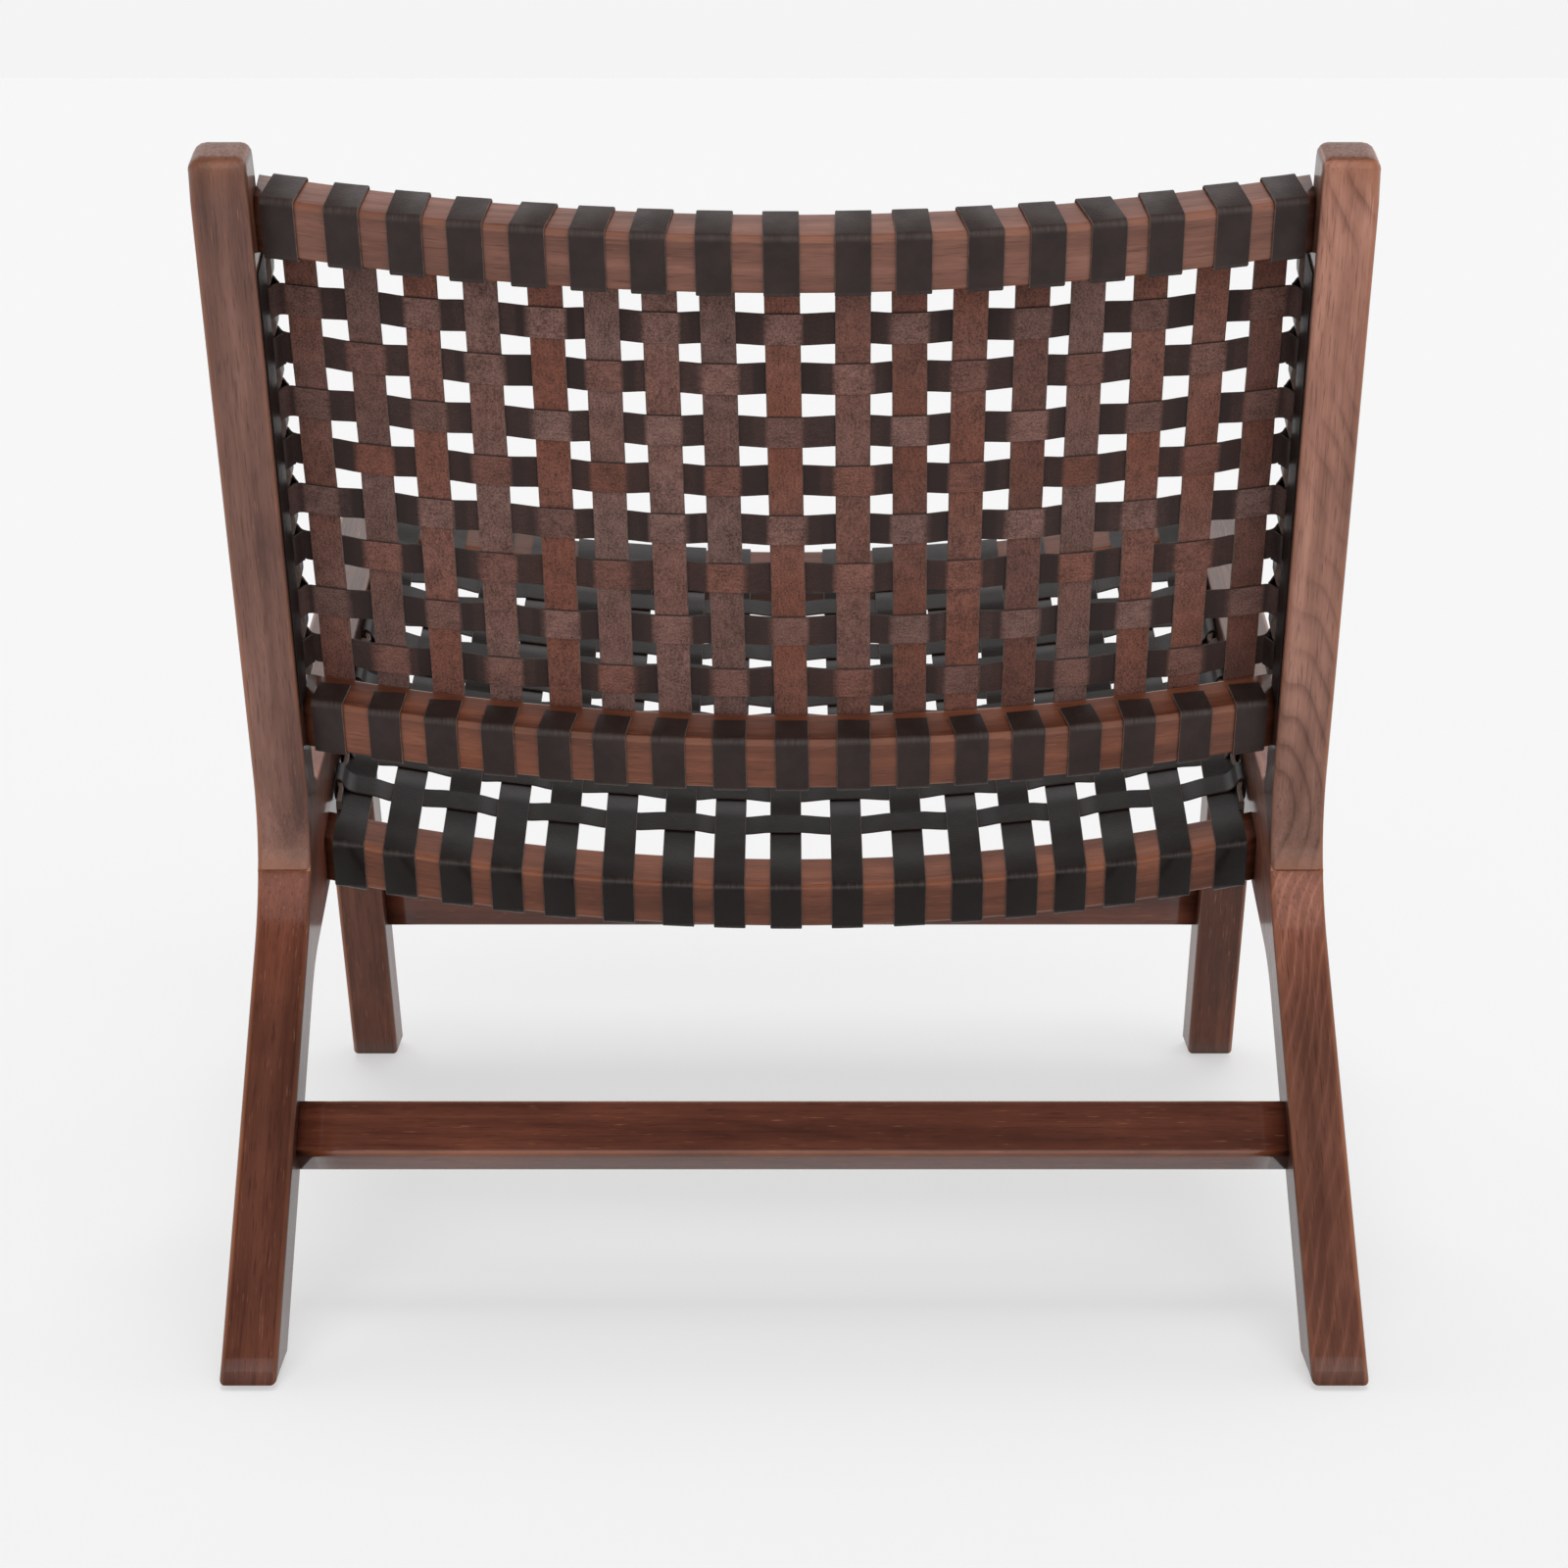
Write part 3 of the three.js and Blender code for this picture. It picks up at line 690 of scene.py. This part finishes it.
def glue_line(name, side):
    """The joint between post and leg: a hair of amber glue that fills the gap between the boards."""
    run = throat_face - knee_face
    normal = Vector((-run.y, run.x)).normalized()
    start = knee_face + run.normalized() * 0.05
    stop = throat_face - run.normalized() * 0.25
    points, grain = [], []
    for place in (start, stop):
        for lift in (-hairline, hairline):
            for deep in (-board_thickness / 2 + 0.3, board_thickness / 2 - 0.3):
                at = place + normal * lift
                points.append(bench(at.x, at.y, side * (frame_centre + deep)))
                grain.append((at.x * MM, at.y * MM, deep * MM))
    faces = [(0, 1, 3, 2), (4, 6, 7, 5), (0, 4, 5, 1), (2, 3, 7, 6), (0, 2, 6, 4), (1, 5, 7, 3)]
    obj = build(name, points, faces, [glue], grain=grain)


# How the boards' colour changes from foot to top: share of the length to a factor. On the legs this is
# painted light and shade; the right post is darker towards the foot.
post_foot_to_top = {-1: None, 1: lambda share: 0.53 + 0.87 * share}


# Painted light and shade on the legs: darker along the lower leg, much lighter where it turns up into the
# knee, less so at the knee itself.
def leg_painted_light(share):
    low = 0.88 - 0.15 * smooth(share / 0.35)
    return low + 1.15 * smooth((share - 0.45) / 0.30) - 0.75 * smooth((share - 0.78) / 0.20)


post_pith = {-1: (0.052, 0.030), 1: (0.038, 0.030)}
leg_pith = {-1: (0.010, 0.062), 1: (0.008, -0.064)}
side_rail_pith, front_leg_pith = (0.05, 0.02), (0.05, 0.01)
for side, word in ((-1, "left"), (1, "right")):
    board(f"post_{word}", f"back_post_{word}", post_ring, side, post_angle, post_pith[side], post_wood[side],
          inner_shade=0.30, painted_light_and_tone=post_foot_to_top[side], rounding_at=post_rounding, tinted_spots=(knee_face, post_top_rear))
    board(f"hind_leg_{word}", f"rear_leg_{word}", leg_ring, side, rear_leg_angle, leg_pith[side],
          leg_wood[side], inner_shade=0.55, painted_light_and_tone=leg_painted_light)
    board(f"side_rail_{word}", f"seat_side_rail_{word}", side_rail_ring, side, rail_top_slope, side_rail_pith,
          side_wood)
    board(f"fore_leg_{word}", f"front_leg_{word}", front_leg_ring, side, front_leg_angle, front_leg_pith,
          front_wood)
    glue_line(f"knee_glue_{word}", side)

for name in ("rear_foot_glide", "front_foot_glide"):
    for word in ("left", "right"):
        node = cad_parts[f"{name}_{word}"]
        node.data.materials.clear()
        node.data.materials.append(glide_plastic)


# Cross members: a section carried from side to side


def bar_section(height, depth, chamfers):
    """Rounded section of a bar as (depth, height, wear) points. A chamfer in a corner replaces its round."""
    section = []
    for n, (sx, sy) in enumerate(((1, 1), (-1, 1), (-1, -1), (1, -1))):
        start = math.radians(90 * n)
        if n in chamfers:
            cut = chamfers[n]
            flat = [(depth / 2, height / 2 - cut), (depth / 2 - cut, height / 2)]
            flat = [(sx * x, sy * y) for x, y in flat]
            if n in (1, 3):
                flat.reverse()
            first, second = Vector(flat[0]), Vector(flat[1])
            slant = (second - first).normalized()
            inward = Vector((-math.sin(start), math.cos(start)))
            outward = Vector((-math.sin(start + math.pi / 2), math.cos(start + math.pi / 2)))
            section.append((*(first - inward * chamfer_soft), 0.0))
            section.append((*(first + slant * chamfer_soft), bar_wear))
            section.append((*(second - slant * chamfer_soft), bar_wear))
            section.append((*(second + outward * chamfer_soft), 0.0))
            continue
        for step in ROUND_STEPS:
            turn = start + math.radians(step)
            x = sx * (depth / 2 - arris) + arris * math.cos(turn)
            y = sy * (height / 2 - arris) + arris * math.sin(turn)
            section.append((x, y, bar_wear if 0 < step < 90 else 0.0))
    return section


def cross_bar(name, node, section, place, stations, pith, finish):
    """A bar from side frame to side frame. `place(across, x, y)` gives the metres of a section point."""
    shift = chance.uniform(0, 3)
    points, edge, grain = [], [], []
    reach = inner_half - hairline
    for n in range(stations + 1):
        across = reach * (2 * n / stations - 1)
        for x, y, worn in section:
            points.append(place(across, x, y))
            edge.append(worn)
            grain.append((across * MM + shift, x * MM + pith[0], y * MM + pith[1]))
    count = len(section)
    faces = [(a, d, c, b) for a, b, c, d in tube(stations + 1, count)]
    faces.append(tuple(range(count)))
    faces.append(tuple(reversed(range(stations * count, (stations + 1) * count))))
    floats = {"edge": edge, "end": [0.0] * len(points), "painted_light_and_tone": [1.0] * len(points)}
    obj = build(name, points, faces, [finish], floats=floats, grain=grain, weighted=True)
    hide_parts(node)


def stretcher(name, node, start, angle, distance, pith):
    inward = angle - math.pi / 2
    at = along(along(start, angle, distance), inward, stretcher_recess + stretcher_depth / 2)

    def place(across, x, y):
        spot = along(along(at, inward, -x), angle, y)
        return bench(spot.x, spot.y, across)

    section = bar_section(stretcher_height, stretcher_depth, {})
    cross_bar(name, node, section, place, stretcher_stations, pith, stretcher_wood)


stretcher("hind_stretcher", "rear_stretcher", heel, rear_leg_angle, rear_stretcher_along, (0.03, 0.05))
stretcher("fore_stretcher", "front_stretcher", front_heel_at, front_leg_angle, front_stretcher_along,
          (0.05, 0.02))


# Woven panels


class Panel:
    """One woven panel. Its points are across, depth away from the sitter, and distance from rail one.

    `row_sag` bends the wefts' ends along the panel. `ends` is how far each rail's middle shifts, and how much
    further its ends do.
    """

    def __init__(self, at, angle, span, bow, margin, loop_out, row_sag, ends):
        self.at, self.angle, self.span = at, angle, span
        self.pitch = 2 * (inner_half - margin) / (warp_count - 1)
        self.loop_half = inner_half + loop_out
        self.row_sag, self.ends = row_sag, ends
        self.radius = (inner_half ** 2 + bow ** 2) / (2 * bow)
        self.end_depth = self.radius - bow
        self.warp_radius = self.radius - rail_depth / 2 - strap_gap - strap_thickness / 2

    def spot(self, across, radius, z):
        towards = self.end_depth - math.sqrt(radius * radius - across * across)
        place = along(along(self.at, self.angle - math.pi / 2, towards), self.angle, z)
        return bench(place.x, place.y, across)

    def rail_shift(self, across, z):
        """How far along the panel the rails lie from their plain place: more so towards their ends."""
        low, high = (middle + rise * (across / inner_half) ** 2 for middle, rise in self.ends)
        return low + (high - low) * z / self.span


back_rail_in = rail_recess + rail_depth / 2
back_low_at = along(along(knee, post_angle, back_rail_low), post_front, back_rail_in)
seat_rear_at = point(seat_rear_forward, seat_rear_height)
seat_front_at = along(seat_rear_at, seat_slope, seat_rail_span)
back = Panel(back_low_at, post_angle, back_rail_span, back_bow, back_warp_margin, back_loop_out,
             -1.6, ((-0.8, 3.5), (-0.9, 4.5)))
seat = Panel(seat_front_at, seat_slope + math.pi, seat_rail_span, seat_bow, seat_warp_margin, seat_loop_out,
             0, ((0, 0), (1.6, -3.2)))


def bowed_rail(name, node, panel, z, chamfers, pith, finish):
    def place(across, x, y):
        return panel.spot(across, panel.radius + x, z + y + panel.rail_shift(across, z))

    cross_bar(name, node, bar_section(rail_breadth, rail_depth, chamfers), place, rail_stations, pith, finish)


bowed_rail("back_rail_low", "back_bottom_rail", back, 0, {0: rail_chamfer}, (0.04, 0.03), low_rail_wood)
bowed_rail("back_rail_high", "back_top_rail", back, back.span, {0: rail_chamfer}, (0.05, -0.02), rail_wood)
bowed_rail("seat_rail_front", "seat_front_rail", seat, 0, {}, (0.03, 0.045), front_wood)
bowed_rail("seat_rail_rear", "seat_rear_rail", seat, seat.span, {}, (0.045, 0.03), low_rail_wood)


def strap_section(width, thickness):
    """Strap section as (across, towards the smooth side) points, and finishes: 0 smooth, 1 edge, 2 suede."""
    w, t = width / 2, thickness / 2
    lip = min(0.7, t * 0.6)
    top = [(-w + lip, t), (-w / 3, t * 1.04), (w / 3, t * 1.04), (w - lip, t)]
    right = [(w - 0.15, t - 0.7 * lip), (w, 0), (w - 0.15, -t + 0.7 * lip)]
    bottom = [(w - lip, -t), (w / 3, -t), (-w / 3, -t), (-w + lip, -t)]
    left = [(-w + 0.15, -t + 0.7 * lip), (-w, 0), (-w + 0.15, t - 0.7 * lip)]
    finishes = [0] * 3 + [1] * 4 + [2] * 3 + [1] * 4
    return top + right + bottom + left, finishes


def ribbon(name, centres, widths, outward, width, thickness, materials, floats, nodes=()):
    """A flat strap along a path. `widths` are its sideways directions, `outward` its smooth side's sign."""
    count = len(centres)
    shift = chance.uniform(0, 5)
    travelled = 0.0
    points, grain = [], []
    profile, finishes = strap_section(width, thickness[0])
    ring = len(profile)
    for i, centre in enumerate(centres):
        ahead = centres[min(i + 1, count - 1)] - centres[max(i - 1, 0)]
        tangent = ahead.normalized()
        sideways = (widths[i] - tangent * widths[i].dot(tangent)).normalized()
        normal = tangent.cross(sideways) * outward
        if i:
            travelled += (centre - centres[i - 1]).length
        profile, _ = strap_section(width, thickness[i])
        for a, h in profile:
            points.append(centre + sideways * a * MM + normal * h * MM)
            grain.append((travelled + shift, a * MM, h * MM + shift))
    faces = tube(count, ring)
    if outward < 0:
        faces = [tuple(reversed(quad)) for quad in faces]
    face_slots = finishes * (count - 1)
    for first in (0, (count - 1) * ring):
        faces.append(tuple(range(first, first + ring)))
        face_slots.append(1)
    spread = {label: [value for value in values for _ in range(ring)] for label, values in floats.items()}
    obj = build(name, points, faces, materials, face_slots, spread, grain)
    obj.data.set_sharp_from_angle(angle=math.radians(28))
    if nodes:
        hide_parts(*nodes)


def woven_lift(place, crossings, lifts, flat):
    """Height of a strap along its run: level over each crossing, and an easy slope from one to the next."""
    if place <= crossings[0]:
        return lifts[0]
    for i in range(len(crossings) - 1):
        if place <= crossings[i + 1]:
            start, stop = crossings[i] + flat, crossings[i + 1] - flat
            share = clamp((place - start) / max(1e-6, stop - start))
            return lifts[i] + (lifts[i + 1] - lifts[i]) * (0.65 * share + 0.35 * smooth(share))
    return lifts[-1]


def weft_behind(row, k):
    """Whether a weft runs on the far side of a warp from the sitter."""
    return (row + k) % 2 == 1


# How far each warp sits from even spacing on a rail, and each weft from even spacing, as the weaver left it
top_wraps = (-0.6, 0.7, 0.8, -0.7, -1.4, -3.3, -5.0, -4.3, -2.1, 2.1, 0.5, 5.0, 4.2, 2.9, -0.2, 2.5, -0.2)
low_wraps = (1.2, 1.2, 0.8, 0.2, -0.9, -2.6, -2.3, -0.8, 1.6, 3.3, 4.1, 4.1, 3.1, 2.3, 0.2, -0.3, -1.1)
seat_wraps = (-0.9, -3.9, -3.5, -6.1, -7.8, -5.3, -2.4, -4.4, -3.1, 1.2, 6.0, 7.6, 7.4, 3.4, 0.5, 0.1, 0.0)
back_row_nudges = (0, 2.9, 5.6, 4.5, 3.4, 1.8, 2.1, 0)
seat_row_nudges = (0, 0, 0, 0, 0, 0, 0, -1, -2.5, -5.3, 2.6)
# How far each back warp lies from its wraps once it is round on the sitter's side
front_moves = (4.8, 3.5, 3.0, 3.8, 6.0, 4.7, 3.8, 0.7, -0.2, 0.6, -1.5, -5.8, -5.2, -7.3, -3.7, -5.0, -4.5)


def warp_across(panel, k, z, depth=-rail_depth / 2):
    low, high = panel.nudges[k]
    round_front = clamp(0.5 - depth / rail_depth)
    even = (k - (warp_count - 1) / 2) * panel.pitch
    return even + low + (high - low) * z / panel.span + panel.moves[k] * round_front


def warp_path(panel, k, rows):
    """Centre line of a warp from tuck to tuck: depth from the rails' middle, distance from rail one, bend."""
    grip = strap_gap + strap_thickness / 2
    bend = bend_radius + grip - strap_gap
    deep = rail_depth / 2 + grip - bend
    broad = rail_breadth / 2 + grip - bend
    tucked = rail_depth / 2 - strap_tuck
    face = -(rail_depth / 2 + grip)
    lifts = [-warp_lift if weft_behind(row, k) else warp_lift for row in range(len(rows))]
    path = [(tucked, panel.span - broad - bend, 0.0)]

    def corner(d, z, start):
        for step in range(0, 91, 15):
            turn = math.radians(start + step)
            # Highest halfway round each bend, where the strap is painted lighter as rubbed wear and
            # highlight.
            wear_and_highlight = math.sin(math.radians(2 * step))
            path.append((d + bend * math.cos(turn), z + bend * math.sin(turn), wear_and_highlight))

    corner(deep, panel.span - broad, -90)
    corner(deep, panel.span + broad, 0)
    corner(-deep, panel.span + broad, 90)
    steps = int(panel.span / warp_step)
    for n in range(1, steps):
        z = panel.span * (1 - n / steps)
        settle = smooth(z / settle_run) * smooth((panel.span - z) / settle_run)
        path.append((face + woven_lift(z, rows, lifts, warp_flat) * settle, z, 0.0))
    corner(-deep, -broad, 180)
    corner(deep, -broad, 270)
    corner(deep, broad, 0)
    path.append((tucked, broad + bend, 0.0))
    return path


def warp(panel, label, k, rows):
    at = warp_across(panel, k, panel.span / 2)
    path = warp_path(panel, k, [row - panel.rail_shift(at, row) for row in rows])
    centres, widths = [], []
    sway = chance.uniform(-0.5, 0.5)
    for d, z, _ in path:
        inside = max(0, min(panel.span, z))
        across = warp_across(panel, k, inside, d) + sway * math.sin(math.pi * inside / panel.span)
        placed = z + panel.rail_shift(across, inside)
        centres.append(panel.spot(across, panel.radius + d, placed))
        ahead = panel.spot(across + 1, panel.radius + d, placed)
        widths.append((ahead - centres[-1]).normalized())
    count = len(path)
    tone = 0.85 * chance.random()
    tones = [clamp(tone + 0.15 * math.sin(z * 0.05 + 9 * tone)) for _, z, _ in path]
    worn = chance.uniform(0.0, 0.42)
    floats = {"tone": tones, "dip": [worn] * count, "bend": [wear_and_highlight for _, _, wear_and_highlight in path]}
    finish = [panel.leather, edge_leather, flesh_leather]
    name = f"{label}_strap_{k + 1:02d}"
    node = f"{label}_warp_{k + 1:02d}"
    ribbon(name, centres, widths, -1, strap_width, [strap_thickness] * count, finish, floats,
           [node])


# The end of a weft, out, round the edge strap and back: in from the side frame, and off the weft's own side
LOOP = (
    (9.5, 1.5), (7.7, 3.2), (6.4, 5.6), (5.2, 7.3), (3.6, 8.0), (2.1, 7.6), (1.2, 6.0), (1.0, 3.0),
    (1.0, 0.0), (1.0, -3.0), (1.2, -6.0), (2.1, -7.6), (3.6, -8.0), (5.2, -7.3), (6.4, -5.6), (7.7, -3.2),
    (8.6, -1.7), (9.6, -0.4),
)


# Tone and shade of the loops
loop_finish = (0.55, 0.75)


def even_finish(count):
    return {"tone": [0.5] * count, "dip": [1.0] * count, "bend": [0.0] * count}


def spline(knots, steps):
    """Points on a smooth curve through the knots."""
    curve = []
    for i in range(len(knots) - 1):
        a, b, c, d = (Vector(knots[max(0, min(len(knots) - 1, i + n))]) for n in (-1, 0, 1, 2))
        for n in range(steps):
            t = n / steps
            curve.append(0.5 * (2 * b + (c - a) * t + (2 * a - 5 * b + 4 * c - d) * t ** 2
                                + (3 * b - a - 3 * c + d) * t ** 3))
    curve.append(Vector(knots[-1]))
    return curve


def weft(panel, label, row, rows, nodes):
    z = rows[row]
    crossings = []
    lifts = []
    for k in range(warp_count):
        crossings.append(warp_across(panel, k, z))
        lifts.append(weft_lift if weft_behind(row, k) else -weft_lift)
    batch = chance.random()
    tones = [0.65 * batch + 0.35 * chance.random() for _ in crossings]
    dips = [chance.uniform(0.82, 1.0) for _ in crossings]
    rubs = [chance.uniform(0.0, 0.3) for _ in crossings]
    loop = spline(LOOP, 3)
    thin = [strap_thickness - (strap_thickness - loop_thickness) * smooth(n / 9) for n in range(len(loop))]
    own = 1 if lifts[0] > 0 else -1
    path = [(a - panel.loop_half, own * d, t, *loop_finish) for (a, d), t in reversed(list(zip(loop, thin)))]
    reach = panel.loop_half - LOOP[0][0]
    steps = int(2 * reach / weft_step)
    for n in range(1, steps):
        across = -reach + 2 * reach * n / steps
        lift = woven_lift(across, crossings, lifts, weft_flat)
        nearest = min(range(warp_count), key=lambda k: abs(crossings[k] - across))
        off = abs(across - crossings[nearest])
        hidden = smooth((off - strap_width / 2 + 0.4) / 1.8)
        shade = rubs[nearest] + (dips[nearest] - rubs[nearest]) * hidden
        if lifts[nearest] < 0:
            shade = dips[nearest]
        path.append((across, lift, strap_thickness, tones[nearest], shade))
    own = 1 if lifts[-1] > 0 else -1
    path += [(panel.loop_half - a, own * d, t, *loop_finish) for (a, d), t in zip(loop, thin)]
    tilt = chance.uniform(-0.8, 0.8)
    centres = []
    for x, d, *_ in path:
        share = x / inner_half
        along_panel = z + tilt * share + panel.row_sag * share * share
        centres.append(panel.spot(x, panel.warp_radius + d, along_panel))
    upward = (panel.spot(0, panel.radius, z + 1) - panel.spot(0, panel.radius, z)).normalized()
    floats = {
        "tone": [tone for *_, tone, _ in path],
        "dip": [shade for *_, shade in path],
        "bend": [0.0] * len(path),
    }
    finish = [panel.leather, weft_shaded_edge_leather, flesh_leather]
    thickness = [t for _, _, t, _, _ in path]
    name = f"{label}_weft_{row + 1:02d}"
    ribbon(name, centres, [upward] * len(path), -1, strap_width, thickness, finish, floats,
           nodes)


def selvedge(panel, label, side, word, rows):
    """The strap on edge beside a side frame that carries the ends of the wefts."""
    centres, widths = [], []
    start = rail_breadth / 2 + 0.5 + max(0, panel.rail_shift(inner_half, 0))
    length = panel.span - rail_breadth / 2 - 0.5 + min(0, panel.rail_shift(inner_half, panel.span)) - start
    steps = int(length / selvedge_step)
    for n in range(steps + 1):
        z = start + length * n / steps
        nearest = min(abs(z - row) for row in rows)
        slack = selvedge_slack * smooth((nearest - 6) / 10)
        across = side * (panel.loop_half - selvedge_in - slack)
        centres.append(panel.spot(across, panel.warp_radius, z))
        widths.append(panel.spot(across, panel.warp_radius + 1, z) - centres[-1])
    count = len(centres)
    finish = [selvedge_leather, edge_leather, selvedge_leather]
    ribbon(f"{label}_selvedge_{word}", centres, widths, side, selvedge_width, [selvedge_thickness] * count,
           finish, even_finish(count))


def shade_strip(side, word):
    """A thin near-black leather strip on a post's inner face between the rails: a dark sheet as painted shade
    on that face.
    """
    start = back_rail_low + rail_breadth / 2 + shade_strip_clear
    length = back_rail_span - rail_breadth - 1.5 * shade_strip_clear
    steps = int(length / shade_strip_step)
    deep = post_depth / 2 + 0.5
    centres, widths = [], []
    for n in range(steps + 1):
        at = along(along(knee, post_angle, start + length * n / steps), post_front, deep)
        further = along(at, post_front, 1)
        across = side * (inner_half - shade_strip_thickness / 2 - hairline)
        centres.append(bench(at.x, at.y, across))
        widths.append(bench(further.x, further.y, across) - centres[-1])
    count = len(centres)
    ribbon(f"back_shade_strip_{word}", centres, widths, side, post_depth - 2 * arris, [shade_strip_thickness] * count,
           [shade_strip_leather] * 3, even_finish(count))


shade_strip(-1, "left")
shade_strip(1, "right")
back.leather, seat.leather = grain_leather, seat_shaded_leather
back.nudges, back.moves = list(zip(low_wraps, top_wraps)), front_moves
seat.nudges = [(0.5 * rear + chance.uniform(-1.2, 1.2), rear) for rear in seat_wraps]
seat.moves = [0] * warp_count
panels = (
    (back, "back", back_weft_count, back_weft_pitch, back_weft_shift, back_row_nudges),
    (seat, "seat", seat_weft_count, seat_weft_pitch, seat_weft_shift, seat_row_nudges),
)
for panel, label, count, pitch, offset, nudges in panels:
    rows = [panel.span / 2 + offset + (row - (count - 1) / 2) * pitch + nudges[row] for row in range(count)]
    for k in range(warp_count):
        warp(panel, label, k, rows)
    for row in range(count):
        weft(panel, label, row, rows, [f"{label}_weft_lattice"] if row == 0 else [])
    selvedge(panel, label, -1, "left", rows)
    selvedge(panel, label, 1, "right", rows)


# Floor, light and camera


def seen_directly(tree):
    """One for a ray that shows what it meets: from the camera, off a gloss or through glass."""
    rays = tree.nodes.new("ShaderNodeLightPath")
    shown = math_node(tree, "ADD", rays.outputs["Is Camera Ray"], rays.outputs["Is Glossy Ray"], True)
    return math_node(tree, "ADD", shown, rays.outputs["Is Transmission Ray"], True)


floor_mesh = bpy.data.meshes.new("floor")
corners = [(x * floor_half, y * floor_half, 0) for x, y in ((-1, -1), (1, -1), (1, 1), (-1, 1))]
floor_mesh.from_pydata(corners, [], [(0, 1, 2, 3)])
floor = new_object("floor", floor_mesh)

paper = bpy.data.materials.new("studio_paper")
tree, output = node_tree(paper, "ShaderNodeOutputMaterial")
matte = tree.nodes.new("ShaderNodeBsdfDiffuse")
matte.inputs["Color"].default_value = (floor_grey, floor_grey, floor_grey, 1)
seen = tree.nodes.new("ShaderNodeBsdfDiffuse")
seen.inputs["Color"].default_value = (floor_seen_grey, floor_seen_grey, floor_seen_grey, 1)
glow = tree.nodes.new("ShaderNodeEmission")
glow.inputs["Color"].default_value = (1.0, 1.0, 1.0, 1)
glow.inputs["Strength"].default_value = floor_glow
both = tree.nodes.new("ShaderNodeAddShader")
tree.links.new(seen.outputs[0], both.inputs[0])
tree.links.new(glow.outputs[0], both.inputs[1])
choose = tree.nodes.new("ShaderNodeMixShader")
tree.links.new(seen_directly(tree), choose.inputs["Fac"])
tree.links.new(matte.outputs[0], choose.inputs[1])
tree.links.new(both.outputs[0], choose.inputs[2])
tree.links.new(choose.outputs[0], output.inputs["Surface"])
floor_mesh.materials.append(paper)

world = bpy.data.worlds.new("studio")
bpy.context.scene.world = world
tree, output = node_tree(world, "ShaderNodeOutputWorld")
room = tree.nodes.new("ShaderNodeBackground")
facing = tree.nodes.new("ShaderNodeSeparateXYZ")
tree.links.new(tree.nodes.new("ShaderNodeTexCoord").outputs["Generated"], facing.inputs[0])
# Bright beyond the chair and at the horizon, dim behind the camera and overhead, a softbox beyond the chair
far_side = math_node(tree, "MULTIPLY_ADD", facing.outputs["Y"], -1 / 0.8)
far_side.node.inputs[2].default_value = 0.25 / 0.8
upper = ramp(tree, far_side, [(0, near_grey), (1, far_grey)])
horizon = ramp(tree, facing.outputs["Z"], [(0.04, 1.0), (0.50, 0.0)])
plug(tree, mix(tree, horizon, upper, (horizon_grey, horizon_grey, horizon_grey)), room.inputs["Color"])
softbox = ramp(tree, facing.outputs["Z"], [(0.36, 0.0), (0.42, 1.0), (0.73, 1.0), (0.77, 0.0)])
beyond = ramp(tree, far_side, [(0.62, 0.0), (0.72, 1.0)])
lit = math_node(tree, "MULTIPLY_ADD", times(tree, softbox, beyond), softbox_gain)
lit.node.inputs[2].default_value = 1.0
ceiling = ramp(tree, facing.outputs["Z"], [(0.75, 1.0), (0.80, ceiling_share)])
tree.links.new(times(tree, lit, ceiling), room.inputs["Strength"])
tree.links.new(room.outputs[0], output.inputs["Surface"])


def soft_sun(name, strength, spread, elevation, azimuth):
    """A broad even light. Azimuth 0 comes from behind the camera, positive from the picture's right."""
    data = bpy.data.lights.new(name, "SUN")
    data.energy = strength
    data.angle = math.radians(spread)
    lamp = new_object(name, data)
    rise, turn = math.radians(elevation), math.radians(azimuth)
    source = Vector((-math.sin(turn) * math.cos(rise), math.cos(turn) * math.cos(rise), math.sin(rise)))
    lamp.rotation_euler = source.to_track_quat("Z", "Y").to_euler()
    return lamp


soft_sun("overhead_softbox", 1.35, 34, 88, 180).visible_glossy = False
soft_sun("camera_side_softbox", 1.7, 80, 24, 14)

camera_data = bpy.data.cameras.new("camera")
camera_data.sensor_width = 36
camera_data.lens = camera_lens
camera_data.shift_x = camera_shift
camera = new_object("camera", camera_data)
camera.location = (0, (heel_y + camera_behind) * MM, camera_height * MM)
camera.rotation_euler = (math.radians(90 - camera_dip), 0, math.radians(180))
bpy.context.scene.camera = camera
bpy.context.scene.view_settings.view_transform = "Standard"
